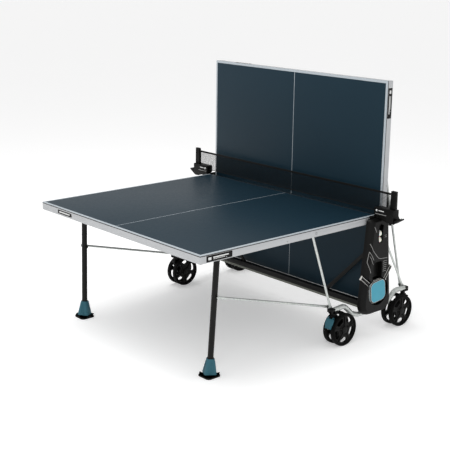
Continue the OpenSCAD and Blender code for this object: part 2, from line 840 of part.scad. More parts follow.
module brake(sx, sy) {
    r0 = wheel_r + brake_gap;
    color(teal) place() on_side(sx) at_end(sy) difference() {
        union() {
            intersection() {
                difference() {
                    x_cyl(r0 + brake_t, bar_x - brake_w / 2, bar_x + brake_w / 2, axle_y, wheel_r, $fn = 96);
                    x_cyl(r0, bar_x - brake_w, bar_x + brake_w, axle_y, wheel_r, $fn = 96);
                }
                box([0, axle_y + r0 * cos(brake_low), wheel_r],
                    [half_w + 200, axle_y + 2 * r0, wheel_r + r0]);
            }
            for (s = [-1, 1]) translate([bar_x + s * (fork_t / 2 + 5), 0, 0])
                x_cyl(9, -3.5, 3.5, brake_pin[0], brake_pin[1]);
        }
        x_cyl(brake_pin_r + fit, bar_x - brake_w, bar_x + brake_w, brake_pin[0], brake_pin[1]);
        x_cyl(wheel_r + 1, bar_x - brake_w, bar_x + brake_w, axle_y, wheel_r, $fn = 96);
        box([bar_x - fork_t / 2 - 1, brake_pin[0] - 40, brake_pin[1] - 20],
            [bar_x + fork_t / 2 + 1, brake_pin[0] + 12, brake_pin[1] + 40]);
    }
}

module left_upright() upright(-1);
module right_upright() upright(1);
module left_wheel_bar() wheel_bar(-1);
module right_wheel_bar() wheel_bar(1);
module left_net_arm() net_arm(-1);
module right_net_arm() net_arm(1);
module left_net_post() net_post(-1);
module right_net_post() net_post(1);
module left_net_lever() net_lever(-1);
module right_net_lever() net_lever(1);

cross_beam();
lower_rail();
left_upright();
right_upright();
braces();
left_wheel_bar();
right_wheel_bar();
left_pod();
right_pod();
left_net_arm();
right_net_arm();
left_net_post();
right_net_post();
net_mesh();
net_tape();
net_cord();
left_net_lever();
right_net_lever();
balls();
inner_bat();
outer_bat();
playing_sheet(false);  // front_surface
end_rail(false);  // front_end_rail
inner_rail(false);  // front_inner_rail
side_rails(false);  // front_side_rails
ribs(false);  // front_ribs
leg_hinges(false);  // front_leg_hinges
carriages(false);  // front_carriages
struts(false);  // front_struts
leg(false, -1);  // front_left_leg
leg(false, 1);  // front_right_leg
leg_sleeves(false);  // front_leg_sleeves
foot(false, -1);  // front_left_foot
foot(false, 1);  // front_right_foot
link_rods(false);  // front_link_rods
playing_sheet(true);  // rear_surface
end_rail(true);  // rear_end_rail
inner_rail(true);  // rear_inner_rail
side_rails(true);  // rear_side_rails
ribs(true);  // rear_ribs
leg_hinges(true);  // rear_leg_hinges
carriages(true);  // rear_carriages
struts(true);  // rear_struts
leg(true, -1);  // rear_left_leg
leg(true, 1);  // rear_right_leg
leg_sleeves(true);  // rear_leg_sleeves
foot(true, -1);  // rear_left_foot
foot(true, 1);  // rear_right_foot
link_rods(true);  // rear_link_rods
fork(-1, -1);  // front_left_fork
wheels(-1, -1);  // front_left_wheels
fork(1, -1);  // front_right_fork
wheels(1, -1);  // front_right_wheels
fork(-1, 1);  // rear_left_fork
wheels(-1, 1);  // rear_left_wheels
fork(1, 1);  // rear_right_fork
wheels(1, 1);  // rear_right_wheels
brake(1, -1);  // front_right_brake
brake(-1, 1);  // rear_left_brake
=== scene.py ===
import json
import math

import bpy
from mathutils import Matrix, Vector


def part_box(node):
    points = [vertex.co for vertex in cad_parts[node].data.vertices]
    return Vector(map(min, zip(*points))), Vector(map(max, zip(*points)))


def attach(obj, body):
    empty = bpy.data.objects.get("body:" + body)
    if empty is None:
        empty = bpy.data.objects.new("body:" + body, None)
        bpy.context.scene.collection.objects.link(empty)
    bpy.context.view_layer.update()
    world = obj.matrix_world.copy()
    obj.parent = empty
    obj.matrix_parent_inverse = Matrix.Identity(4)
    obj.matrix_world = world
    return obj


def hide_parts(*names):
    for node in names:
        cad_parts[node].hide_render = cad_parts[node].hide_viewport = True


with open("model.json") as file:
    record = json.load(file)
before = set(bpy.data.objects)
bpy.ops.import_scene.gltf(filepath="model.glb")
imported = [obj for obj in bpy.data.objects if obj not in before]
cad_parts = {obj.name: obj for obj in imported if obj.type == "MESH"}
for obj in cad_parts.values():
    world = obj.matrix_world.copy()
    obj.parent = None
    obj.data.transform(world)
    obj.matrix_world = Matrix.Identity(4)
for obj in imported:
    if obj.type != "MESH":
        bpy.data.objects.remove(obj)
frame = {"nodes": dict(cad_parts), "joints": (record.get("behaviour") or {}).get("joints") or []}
nodes = frame["nodes"]
joints = {joint["name"]: joint for joint in frame["joints"]}
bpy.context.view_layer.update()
print("frame loaded,", len(nodes), "CAD nodes")

# places that several pieces share

# the net stands in the plane y = netY, and lengths are metres
netY = (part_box("net_tape")[0].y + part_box("net_tape")[1].y) / 2
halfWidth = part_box("front_surface")[1].x
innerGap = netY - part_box("front_surface")[1].y
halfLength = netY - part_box("front_surface")[0].y
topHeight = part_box("front_surface")[1].z
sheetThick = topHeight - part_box("front_surface")[0].z
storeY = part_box("rear_surface")[0].y - netY
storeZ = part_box("rear_surface")[0].z - innerGap

mirrorX = Matrix.Scale(-1, 4, (1, 0, 0))
mirrorNet = Matrix.Translation((0, netY, 0)) @ Matrix.Scale(
    -1, 4, (0, 1, 0),
) @ Matrix.Translation((0, -netY, 0))
# takes a point of the front half, in play, to the same point of the rear half, folded up
foldUp = Matrix((
    (1, 0, 0, 0),
    (0, 0, -1, netY + storeY + topHeight),
    (0, -1, 0, storeZ + netY),
    (0, 0, 0, 1),
))


def at(x, y, z):
    return Vector((x, netY + y, z))


def jointPlace(name):
    return Vector(joints[name]["pos_m"])


# modelling

def deselectAll():
    if bpy.context.mode != "OBJECT":
        bpy.ops.object.mode_set(mode="OBJECT")
    bpy.ops.object.select_all(action="DESELECT")


def only(piece):
    deselectAll()
    piece.select_set(True)
    bpy.context.view_layer.objects.active = piece


def settle(piece):
    only(piece)
    bpy.ops.object.transform_apply(location=True, rotation=True, scale=True)


def started(name):
    piece = bpy.context.object
    piece.name = name
    piece.data.name = name
    return piece


def anything(*_):
    return True


# goes into edit mode with what passes the test selected
def edit(piece, kind, test=anything):
    only(piece)
    bpy.ops.object.mode_set(mode="EDIT")
    bpy.ops.mesh.select_mode(type=kind)
    bpy.ops.mesh.select_all(action="DESELECT")
    bpy.ops.object.mode_set(mode="OBJECT")
    points = piece.data.vertices
    if kind == "FACE":
        for face in piece.data.polygons:
            face.select = bool(test(face.center, face.normal))
    elif kind == "EDGE":
        for edge in piece.data.edges:
            a, b = (points[i].co for i in edge.vertices)
            edge.select = bool(test((a + b) / 2, (b - a).normalized()))
    else:
        for point in points:
            point.select = bool(test(point.co, point.normal))
    bpy.ops.object.mode_set(mode="EDIT")


def leave():
    bpy.ops.object.mode_set(mode="OBJECT")


def mended(piece):
    edit(piece, "VERT")
    bpy.ops.mesh.remove_doubles(threshold=0.00002)
    bpy.ops.mesh.normals_make_consistent(inside=False)
    leave()
    return piece


def applied(piece, kind, **settings):
    only(piece)
    modifier = piece.modifiers.new(kind.title(), kind)
    for key, value in settings.items():
        setattr(modifier, key, value)
    bpy.ops.object.modifier_apply(modifier=modifier.name)
    return piece


def smoothed(piece, angle=35):
    only(piece)
    bpy.ops.object.shade_smooth_by_angle(angle=math.radians(angle))
    return piece


# rounds the edges that turn more than the angle, then shades the piece smooth
def softened(piece, width, segments=3, angle=30):
    applied(
        piece, "BEVEL", width=width, segments=segments, limit_method="ANGLE", angle_limit=math.radians(angle),
    )
    return smoothed(piece)


def roundEdges(piece, test, width, segments=5):
    edit(piece, "EDGE", test)
    bpy.ops.mesh.bevel(offset=width, offset_type="OFFSET", segments=segments, profile=0.5, affect="EDGES")
    leave()
    return piece


def insetFaces(piece, test, steps):
    edit(piece, "FACE", test)
    for thickness, depth in steps:
        bpy.ops.mesh.inset(thickness=thickness, depth=depth, use_even_offset=True)
    leave()
    return piece


def block(name, low, high):
    low, high = Vector(low), Vector(high)
    deselectAll()
    bpy.ops.mesh.primitive_cube_add(size=1, location=(low + high) / 2)
    piece = started(name)
    piece.scale = high - low
    settle(piece)
    return piece


def barrel(name, start, end, radius, sides=32, endRadius=None):
    start, end = Vector(start), Vector(end)
    deselectAll()
    bpy.ops.mesh.primitive_cone_add(
        vertices=sides, radius1=radius, radius2=radius if endRadius is None else endRadius,
        depth=(end - start).length, location=(start + end) / 2,
        rotation=(end - start).to_track_quat("Z", "Y").to_euler(),
    )
    piece = started(name)
    settle(piece)
    return piece


# corner points, each with its rounding, become a line of points with arcs
def rounded(corners, closed=True, steps=6):
    line = []
    count = len(corners)
    for i, (*corner, radius) in enumerate(corners):
        corner = Vector(corner)
        if radius <= 0 or (not closed and i in (0, count - 1)):
            line.append(corner)
            continue
        before = (Vector(corners[i - 1][:-1]) - corner).normalized()
        after = (Vector(corners[(i + 1) % count][:-1]) - corner).normalized()
        half = math.acos(max(-1, min(1, before.dot(after)))) / 2
        run = radius / math.tan(half)
        centre = corner + (before + after).normalized() * radius / math.sin(half)
        a, b = corner + before * run - centre, corner + after * run - centre
        sweep = math.pi - 2 * half
        for k in range(steps + 1):
            turn = sweep * k / steps
            line.append(centre + (a * math.sin(sweep - turn) + b * math.sin(turn)) / math.sin(sweep))
    return line


# the corners of a rectangle, each with the same rounding
def oblong(left, low, right, high, radius):
    return [(left, low, radius), (right, low, radius), (right, high, radius), (left, high, radius)]


# an outline across one axis, drawn out along that axis
def plate(name, outline, low, high, axis="x"):
    place = {
        "x": lambda a, b, c: (c, netY + a, b), "y": lambda a, b, c: (a, netY + c, b),
        "z": lambda a, b, c: (a, netY + b, c),
    }
    pull = Vector(place[axis](0, 0, high)) - Vector(place[axis](0, 0, low))
    deselectAll()
    bpy.ops.mesh.primitive_circle_add(vertices=len(outline), radius=1, fill_type="NGON")
    piece = started(name)
    for point, (a, b) in zip(piece.data.vertices, outline):
        point.co = place[axis](a, b, low)
    edit(piece, "FACE")
    bpy.ops.mesh.extrude_region_move(TRANSFORM_OT_translate={"value": pull})
    bpy.ops.mesh.select_all(action="SELECT")
    bpy.ops.mesh.normals_make_consistent(inside=False)
    leave()
    return piece


# round tube along a line of points, closed at both ends
def pipe(name, route, radius, rings=5):
    deselectAll()
    bpy.ops.curve.primitive_bezier_curve_add()
    piece = started(name)
    curve = piece.data
    curve.splines.clear()
    spline = curve.splines.new("POLY")
    spline.points.add(len(route) - 1)
    for point, place in zip(spline.points, route):
        point.co = (*place, 1)
    curve.dimensions = "3D"
    curve.bevel_depth = radius
    curve.bevel_resolution = rings
    curve.use_fill_caps = True
    only(piece)
    bpy.ops.object.convert(target="MESH")
    piece = started(name)
    settle(piece)
    return smoothed(mended(piece), 40)


def joined(name, pieces):
    deselectAll()
    for piece in pieces:
        piece.select_set(True)
    bpy.context.view_layer.objects.active = pieces[0]
    bpy.ops.object.join()
    return started(name)


def combined(piece, other, operation="DIFFERENCE"):
    applied(piece, "BOOLEAN", object=other, operation=operation, solver="EXACT")
    bpy.data.objects.remove(other)
    return piece


def copied(piece, name, matrix=Matrix.Identity(4)):
    twin = piece.copy()
    twin.data = piece.data.copy()
    twin.name = name
    twin.data.name = name
    bpy.context.scene.collection.objects.link(twin)
    twin.data.transform(matrix)
    if matrix.to_3x3().determinant() < 0:
        twin.data.flip_normals()
    return twin


# a CAD node's shape with its edges rounded
def refined(node, width, segments=2):
    piece = nodes[node].copy()
    piece.data = nodes[node].data.copy()
    for key in [k for k in piece.keys() if k.startswith("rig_")]:
        del piece[key]
    piece.parent = None
    bpy.context.scene.collection.objects.link(piece)
    only(piece)
    piece.name = node + "_shape"
    piece.data.name = piece.name
    edit(piece, "VERT")
    bpy.ops.mesh.customdata_custom_splitnormals_clear()
    bpy.ops.mesh.remove_doubles(threshold=0.00002)
    bpy.ops.mesh.select_mode(type="FACE")
    bpy.ops.mesh.select_all(action="SELECT")
    bpy.ops.mesh.dissolve_limited(angle_limit=math.radians(1))
    leave()
    return softened(piece, width, segments, 40)


# finishes

# a socket's value, so that shader maths reads as plain sums
class Wire:
    def __init__(self, finish, socket):
        self.finish = finish
        self.socket = socket

    def maths(self, operation, a, b=0.0):
        return self.finish.node("Math", {"operation": operation}, {0: a, 1: b})

    def __add__(self, other):
        return self.maths("ADD", self, other)

    __radd__ = __add__

    def __sub__(self, other):
        return self.maths("SUBTRACT", self, other)

    def __rsub__(self, other):
        return self.maths("SUBTRACT", other, self)

    def __mul__(self, other):
        return self.maths("MULTIPLY", self, other)

    __rmul__ = __mul__

    def __gt__(self, other):
        return self.maths("GREATER_THAN", self, other)

    def __lt__(self, other):
        return self.maths("LESS_THAN", self, other)

    def __abs__(self):
        return self.maths("ABSOLUTE", self)


def fromScreen(red, green, blue):
    def linear(value):
        value = value / 255
        return value / 12.92 if value <= 0.04045 else ((value + 0.055) / 1.055) ** 2.4
    return (linear(red), linear(green), linear(blue), 1)


class Finish:
    def __init__(self, name, **constants):
        self.material = bpy.data.materials.new(name)
        self.material.use_nodes = True
        self.tree = self.material.node_tree
        self.shader = self.tree.nodes["Principled BSDF"]
        for key, value in constants.items():
            self.shader.inputs[key.replace("_", " ")].default_value = value
        self.place = self.node("TexCoord", {}, {}, "Object")

    def node(self, kind, settings, values, output=0):
        node = self.tree.nodes.new("ShaderNode" + kind)
        for key, value in settings.items():
            if key == "stops":
                for stop, (position, colour) in zip(node.color_ramp.elements, value):
                    stop.position = position
                    stop.color = colour
            else:
                setattr(node, key, value)
        for key, value in values.items():
            self.feed(node.inputs[key], value)
        return Wire(self, node.outputs[output])

    def feed(self, socket, value):
        if isinstance(value, Wire):
            self.tree.links.new(value.socket, socket)
        else:
            socket.default_value = value

    def give(self, **values):
        for key, value in values.items():
            self.feed(self.shader.inputs[key.replace("_", " ")], value)
        return self

    def noise(self, scale, detail=3, roughness=0.55, place=None):
        return self.node(
            "TexNoise", {},
            {"Vector": place or self.place, "Scale": scale, "Detail": detail, "Roughness": roughness}, "Fac",
        )

    def blend(self, factor, a, b):
        return self.node("Mix", {"data_type": "RGBA"}, {0: factor, 6: a, 7: b}, 2)

    def part(self, axis):
        return self.node("SeparateXYZ", {}, {0: self.place}, axis)

    def bump(self, height, strength, distance):
        return self.give(
            Normal=self.node("Bump", {}, {"Height": height, "Strength": strength, "Distance": distance})
        )


# the playing paint: lines along the edges and down the middle, in the plane of x and the named axis
def playingPaint(name, axis, outer, inner):
    finish = Finish(name, Specular_IOR_Level=0.17)
    x, along = finish.part("X"), finish.part(axis)
    blue = finish.blend(finish.noise(3.0, 4), fromScreen(14, 36, 47), fromScreen(16, 39, 51))
    speckle = finish.noise(900, 2)
    blue = finish.blend(speckle * 0.22, blue, fromScreen(30, 54, 66))
    sign = 1 if outer > inner else -1
    side = abs(x) > halfWidth - 0.0135
    end = (along - outer) * sign > -0.0135
    middle = abs(x) < 0.0016
    lines = finish.node("Math", {"operation": "MAXIMUM"}, {0: side, 1: end})
    lines = finish.node("Math", {"operation": "MAXIMUM"}, {0: lines, 1: middle})
    white = finish.blend(finish.noise(40), fromScreen(160, 168, 174), fromScreen(172, 179, 184))
    finish.give(Base_Color=finish.blend(lines, blue, white), Roughness=finish.noise(60, 3) * 0.10 + 0.40)
    return finish.bump(finish.noise(1400, 2), 0.12, 0.0002)


def coatedMetal(name, dark, light, roughness, shine=0.5, grain=700, wear=0.25):
    finish = Finish(name, Specular_IOR_Level=shine)
    patch = finish.noise(9, 4)
    finish.give(Base_Color=finish.blend(patch, dark, light), Roughness=finish.noise(55, 3) * wear + roughness)
    return finish.bump(finish.noise(grain, 2), 0.18, 0.0003)


def zincSteel():
    finish = Finish("zincSteel", Metallic=0.72)
    cells = finish.node("TexVoronoi", {"feature": "F1"}, {"Vector": finish.place, "Scale": 95.0}, "Color")
    tone = finish.node("SeparateXYZ", {}, {0: cells}, "X")
    shade = finish.blend(
        tone * 0.55 + finish.noise(14, 4) * 0.45, fromScreen(176, 181, 180), fromScreen(218, 221, 217),
    )
    finish.give(Base_Color=shade, Roughness=tone * 0.14 + finish.noise(120, 2) * 0.14 + 0.30)
    return finish.bump(finish.noise(300, 3), 0.10, 0.0003)


def mouldedPlastic(name, dark, light, roughness, grain=1100, shine=0.34):
    finish = Finish(name, Specular_IOR_Level=shine)
    finish.give(
        Base_Color=finish.blend(finish.noise(22, 4), dark, light),
        Roughness=finish.noise(70, 3) * 0.16 + roughness,
    )
    return finish.bump(finish.noise(grain, 3, 0.7), 0.25, 0.00035)


def tyreRubber():
    finish = Finish("tyreRubber", Specular_IOR_Level=0.08)
    dust = finish.noise(30, 5)
    finish.give(
        Base_Color=finish.blend(dust * 0.6, fromScreen(5, 5, 5), fromScreen(14, 14, 13)),
        Roughness=dust * 0.2 + 0.55,
    )
    return finish.bump(finish.noise(500, 4), 0.3, 0.0004)


def ballPlastic():
    finish = Finish("ballPlastic", Subsurface_Weight=0.15, Subsurface_Scale=0.002)
    finish.give(
        Base_Color=finish.blend(finish.noise(60, 3), fromScreen(236, 233, 222), fromScreen(246, 243, 234)),
        Roughness=finish.noise(120) * 0.15 + 0.42,
    )
    return finish.bump(finish.noise(900), 0.08, 0.0002)


def woven(name, dark, light, scale):
    finish = Finish(name, Sheen_Weight=0.04, Specular_IOR_Level=0.12)
    rib = finish.node(
        "TexWave", {"bands_direction": "X"}, {"Vector": finish.place, "Scale": scale, "Distortion": 0.4},
        "Fac",
    )
    weft = finish.node(
        "TexWave", {"bands_direction": "Z"}, {"Vector": finish.place, "Scale": scale, "Distortion": 0.4},
        "Fac",
    )
    weave = rib * weft
    finish.give(Base_Color=finish.blend(weave, dark, light), Roughness=finish.noise(90) * 0.1 + 0.75)
    return finish.bump(weave, 0.4, 0.0004)


def floorPaint():
    finish = Finish(
        "studioFloor", Specular_IOR_Level=0.1, Emission_Color=(1, 1, 1, 1), Emission_Strength=0.33,
    )
    finish.give(
        Base_Color=finish.blend(finish.noise(0.6, 3), (0.86, 0.86, 0.86, 1), (0.87, 0.87, 0.87, 1)),
        Roughness=finish.noise(2) * 0.05 + 0.85,
    )
    return finish


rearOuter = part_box("rear_surface")[1].z
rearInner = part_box("rear_surface")[0].z
finishes = {
    "frontPlay": playingPaint("playingBlueFront", "Y", netY - halfLength, netY - innerGap),
    "rearPlay": playingPaint("playingBlueRear", "Z", rearOuter, rearInner),
    "underside": coatedMetal("undersideGrey", fromScreen(22, 32, 38), fromScreen(28, 39, 46), 0.5, 0.2),
    "rail": coatedMetal("railGrey", fromScreen(172, 174, 176), fromScreen(184, 186, 188), 0.34),
    # white net edge strip of the rear half: painted highlight along its lit edge
    "trim": coatedMetal("trimWhite", fromScreen(236, 238, 240), fromScreen(244, 245, 246), 0.3),
    # dark brown strips: painted shade in the rails' shadow gaps and on the front half's net edge
    "seal": coatedMetal("sealBrown", fromScreen(34, 27, 22), fromScreen(48, 39, 32), 0.6, 0.2),
    "dullRail": coatedMetal("dullRail", fromScreen(106, 108, 100), fromScreen(120, 122, 113), 0.38, 0.35),
    "zinc": zincSteel(),
    "bolt": coatedMetal("boltSteel", fromScreen(120, 122, 124), fromScreen(160, 162, 163), 0.3),
    "blackSteel": coatedMetal("blackSteel", fromScreen(5, 5, 4), fromScreen(9, 9, 7), 0.28, 0.2),
    "black": mouldedPlastic("blackPlastic", fromScreen(5, 5, 5), fromScreen(9, 9, 8), 0.38, 1100, 0.15),
    "smoothBlack": mouldedPlastic("smoothBlack", fromScreen(4, 4, 4), fromScreen(7, 7, 7), 0.32, 2000, 0.16),
    # one turquoise as a shaded and a lit copy: this darker teal of the sleeves and brakes is painted shade
    "teal": mouldedPlastic("tealPlastic", fromScreen(37, 89, 102), fromScreen(43, 96, 110), 0.42),
    "tyre": tyreRubber(),
    "ball": ballPlastic(),
    # the same turquoise made lighter on the bat face: painted light
    "batFace": mouldedPlastic("batRubber", fromScreen(70, 152, 173), fromScreen(76, 158, 179), 0.55, 700),
    "edging": mouldedPlastic("batEdging", fromScreen(196, 196, 192), fromScreen(214, 213, 208), 0.45),
    # grey beads on the right cover, and the net arms' thin strip, which is a painted highlight
    "accent": mouldedPlastic("accentGrey", fromScreen(134, 134, 133), fromScreen(152, 152, 150), 0.4),
    "net": woven("netThread", fromScreen(12, 12, 12), fromScreen(24, 24, 23), 420.0),
    "tape": woven("netTape", fromScreen(8, 8, 8), fromScreen(15, 15, 14), 300.0),
    "badgeInk": mouldedPlastic("badgeInk", fromScreen(206, 207, 206), fromScreen(216, 217, 216), 0.4),
}


def dressed(piece, *names):
    piece.data.materials.clear()
    for name in names:
        piece.data.materials.append(finishes[name].material)
    return piece


# gives the faces that pass the test the piece's finish of that number
def paintFaces(piece, number, test):
    for face in piece.data.polygons:
        if test(face.center, face.normal):
            face.material_index = number
    return piece


# gives a piece several finishes, and all of it the one of that number
def tinted(piece, number, *names):
    return paintFaces(dressed(piece, *names), number, anything)


def fitted(piece, body, instead=()):
    settle(piece)
    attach(piece, body)
    if instead:
        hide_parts(*instead)
    return piece


# camera, light and floor

view = {
    "place": (4.4876, -3.9987, 2.2081),
    "yaw": 48.517, "pitch": 14.783, "roll": 0.681,
    "lens": 79.53,
}
bpy.ops.object.camera_add()
camera = bpy.context.object
camera.name = "camera"
camera.data.lens = view["lens"]
camera.data.sensor_width = 36
camera.data.clip_end = 500
camera.matrix_world = (
    Matrix.Translation(view["place"])
    @ Matrix.Rotation(math.radians(view["yaw"]), 4, "Z")
    @ Matrix.Rotation(math.radians(90 - view["pitch"]), 4, "X")
    @ Matrix.Rotation(math.radians(view["roll"]), 4, "Z")
)
bpy.context.scene.camera = camera
bpy.context.scene.view_settings.view_transform = "Standard"

studio = {"world": 0.67, "top": 122, "left": 5, "front": 56}
world = bpy.data.worlds.new("studio")
bpy.context.scene.world = world
world.use_nodes = True
world.node_tree.nodes["Background"].inputs["Color"].default_value = (1, 1, 1, 1)
world.node_tree.nodes["Background"].inputs["Strength"].default_value = studio["world"]


def softLight(name, place, target, size, power):
    bpy.ops.object.light_add(type="AREA", location=place)
    light = bpy.context.object
    light.name = name
    light.data.shape = "RECTANGLE"
    light.data.size, light.data.size_y = size
    light.data.energy = power
    light.rotation_euler = (Vector(target) - Vector(place)).to_track_quat("-Z", "Y").to_euler()
    return light


softLight("topLight", (-0.6, -0.8, 4.6), (0, 0, 0.4), (4.0, 3.0), studio["top"])
softLight("leftLight", (-4.2, -2.6, 2.6), (0, 0.2, 0.6), (2.4, 2.4), studio["left"])
softLight("frontLight", (3.6, -3.4, 3.6), (0.3, 0.2, 0.5), (2.4, 2.0), studio["front"])

deselectAll()
bpy.ops.mesh.primitive_plane_add(size=160, location=(0, 0, 0))
floor = started("floor")
dressed(floor)
floor.data.materials.append(floorPaint().material)
settle(floor)
print("camera, light and floor are set")

# playing surfaces and their rails

halves = {
    "edge": 0.0012, "railEdge": 0.0009, "trim": 0.0045, "trimRise": 0.0004, "cap": 0.042, "capWall": 0.0009,
}

for end, paint in (("front", "frontPlay"), ("rear", "rearPlay")):
    sheet = softened(block(end + "_playing_sheet", *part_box(end + "_surface")), halves["edge"], 2)
    under = Vector((0, 0, -1)) if end == "front" else Vector((0, 1, 0))
    paintFaces(dressed(sheet, paint, "underside"), 1, lambda place, normal: normal.dot(under) > 0.9)
    fitted(sheet, end + "_top", [end + "_surface"])
    for rail in ("end_rail", "inner_rail", "side_rails"):
        piece = refined(f"{end}_{rail}", halves["railEdge"])
        piece.name = f"{end}_{rail}_profile"
        fitted(dressed(piece, "rail"), end + "_top", [f"{end}_{rail}"])
    for black in ("ribs", "leg_hinges"):
        piece = refined(f"{end}_{black}", 0.0006)
        piece.name = f"{end}_{black}_shape"
        fitted(dressed(piece, "blackSteel"), end + "_top", [f"{end}_{black}"])


# a piece of the front half, and its twin on the rear half
def onBothHalves(piece, base, slot, *finish):
    dressed(piece, *finish)
    rear = copied(piece, "rear_" + base, foldUp)
    piece.name = "front_" + base
    fitted(piece, "front_top")
    fitted(rear, "rear_top")


# strip that edges the sheet at the net: white on the rear half as a painted highlight along its lit edge,
# dark on the front half as painted shade
trim = block(
    "trim", at(-halfWidth, -innerGap - halves["trim"], topHeight - sheetThick),
    at(halfWidth, -innerGap, topHeight + halves["trimRise"]),
)
trim = softened(trim, 0.0006, 2)
fitted(dressed(copied(trim, "rear_net_trim", foldUp), "trim"), "rear_top")
trim.name = "front_net_trim"
fitted(dressed(trim, "seal"), "front_top")

# thin dark strips in the gap between the sheet and its rails: painted shade in the rails' shadow gap
seals = []
for low, high in (
    ((-halfWidth - 0.0003, -halfLength - 0.0003), (halfWidth + 0.0003, -halfLength + 0.002)),
    ((-halfWidth - 0.0003, -halfLength - 0.0003), (-halfWidth + 0.002, -innerGap)),
    ((halfWidth - 0.002, -halfLength - 0.0003), (halfWidth + 0.0003, -innerGap)),
):
    strip = block(
        "seal", at(*low, topHeight - sheetThick - 0.0034), at(*high, topHeight - sheetThick + 0.0002),
    )
    seals.append(softened(strip, 0.0001, 1))
onBothHalves(joined("seals", seals), "edge_seal", "black_plastic", "seal")

# corner covers on the outer corners
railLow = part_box("front_end_rail")[0].z
caps = []
for side in (-1, 1):
    wall, size = halves["capWall"], halves["cap"]
    x = side * (halfWidth + wall)
    outline = rounded([
        (x, -halfLength - wall, 0.006), (x - side * size, -halfLength - wall, 0),
        (x - side * size, -halfLength + wall, 0), (x - side * wall * 2, -halfLength + wall, 0.003),
        (x - side * wall * 2, -halfLength + size, 0), (x, -halfLength + size, 0),
    ])
    cap = plate("cap", outline, railLow + 0.001, topHeight - sheetThick - 0.0035, "z")
    caps.append(softened(mended(cap), 0.0003, 2))
onBothHalves(joined("caps", caps), "corner_covers", "rail_grey", "rail")
print("playing surfaces and rails are made")

# bolts

boltSize = {"rise": 0.0035, "radius": 0.0065, "socket": 0.0026}


# domed bolt head standing on a face, with a round socket
def boltHead(name, foot, direction, radius=None, rise=None):
    radius, rise = radius or boltSize["radius"], rise or boltSize["rise"]
    foot, direction = Vector(foot), Vector(direction).normalized()
    head = barrel(name, foot, foot + direction * rise, radius, 24)
    top = foot + direction * rise

    def upper(place, normal):
        return (place - top).length < radius * 0.4 and normal.dot(direction) > 0.9

    insetFaces(head, upper, [(radius * 0.12, rise * 0.18), (radius * 0.22, rise * 0.10)])
    top = foot + direction * rise * 1.28
    insetFaces(head, upper, [(radius * 0.16, 0), (radius * 0.02, -rise * 0.55)])
    return smoothed(head, 40)


strutPivot = jointPlace("front_strut_turn")
railBolts = []
for side in (-1, 1):
    face = side * (halfWidth + 0.0006)
    railBolts.append(
        boltHead(
            "bolt", (side * (halfWidth - 0.0002), strutPivot.y, strutPivot.z), (side, 0, 0), 0.0085, 0.003,
        )
    )
    railBolts.append(
        boltHead("bolt", (face - side * 0.0008, netY - 0.742, railLow + 0.012), (side, 0, 0), 0.0035, 0.0015)
    )
    railBolts.append(
        boltHead("bolt", (face - side * 0.0008, netY - 1.19, railLow + 0.012), (side, 0, 0), 0.0035, 0.0015)
    )
onBothHalves(joined("railBolts", railBolts), "rail_bolts", "zinc_steel", "bolt")

# plain badges, with bars in place of any words

badges = {
    "corner": {"from": -1.331, "to": -1.149, "low": 0.716, "high": 0.750},
    "end": {"from": -0.585, "to": -0.435, "low": 0.722, "high": 0.745},
}


def sideBadge(name, size, side=1):
    face = side * (halfWidth + 0.0002)
    outline = rounded(oblong(size["from"], size["low"], size["to"], size["high"], 0.004))
    card = plate(name, outline, min(face, face + side * 0.0006), max(face, face + side * 0.0006))
    dressed(card, "smoothBlack", "badgeInk")
    bars = []
    height = size["high"] - size["low"]
    length = size["to"] - size["from"]
    for start, stop, low, high in (
        (0.09, 0.20, 0.28, 0.72), (0.27, 0.86, 0.50, 0.70), (0.27, 0.72, 0.30, 0.40),
    ):
        left, right = size["from"] + length * start, size["from"] + length * stop
        outline = rounded(
            oblong(left, size["low"] + height * low, right, size["low"] + height * high, 0.002), steps=3,
        )
        bar = plate("bar", outline, min(face, face + side * 0.0009), max(face, face + side * 0.0009))
        bars.append(dressed(bar, "badgeInk"))
    return joined(name, [card] + bars)


cornerBadge = sideBadge("front_right_badge", badges["corner"])
fitted(copied(cornerBadge, "rear_right_badge", foldUp), "rear_top")
fitted(copied(cornerBadge, "rear_left_badge", foldUp @ mirrorX), "rear_top")
fitted(copied(cornerBadge, "front_left_badge", mirrorX), "front_top")
fitted(cornerBadge, "front_top")

size = badges["end"]
outline = rounded(oblong(size["from"], size["low"], size["to"], size["high"], 0.003))
badge = plate("endBadge", outline, -halfLength - 0.0008, -halfLength - 0.0001, "y")
outline = rounded(
    oblong(size["from"] + 0.015, size["low"] + 0.008, size["to"] - 0.020, size["high"] - 0.007, 0.002),
    steps=3,
)
bar = plate("bar", outline, -halfLength - 0.0011, -halfLength - 0.0003, "y")
dressed(badge, "smoothBlack")
dressed(bar, "badgeInk")
onlyBadge = joined("front_end_badge", [badge, bar])
fitted(copied(onlyBadge, "rear_end_badge", foldUp), "rear_top")
fitted(onlyBadge, "front_top")
print("bolts and badges are made")

# legs, sleeves and feet

leg = {
    "hinge": (0.638, -1.137, 0.725), "kneeOut": 0.0105, "kneeDown": 0.066, "bend": 0.055,
    "foot": (0.617, -1.177), "radius": 0.017, "low": 0.033, "barrel": 0.0188,
    "rodAt": 0.264, "spacerEnd": 0.6569, "stow": 19.5,
}
sleeve = {"low": 0.0725, "high": 0.043, "from": 0.0175, "to": 0.104, "corner": 0.017}
pad = {"side": 0.096, "rise": 0.013, "corner": 0.018, "stem": 0.047}

legPivot = {"front": jointPlace("front_leg_turn"), "rear": jointPlace("rear_leg_turn")}
legHinge, legFoot = at(*leg["hinge"]), at(*leg["foot"], 0)
legUp = (legHinge - legFoot).normalized()
legLean = math.atan2(legHinge.y - legFoot.y, legHinge.z)
legTurn = math.radians(leg["stow"]) - legLean
# from the hinge down the leg to the link rod's bolt
rodDrop = Vector((0, -math.sin(legLean), -math.cos(legLean))) * leg["rodAt"]


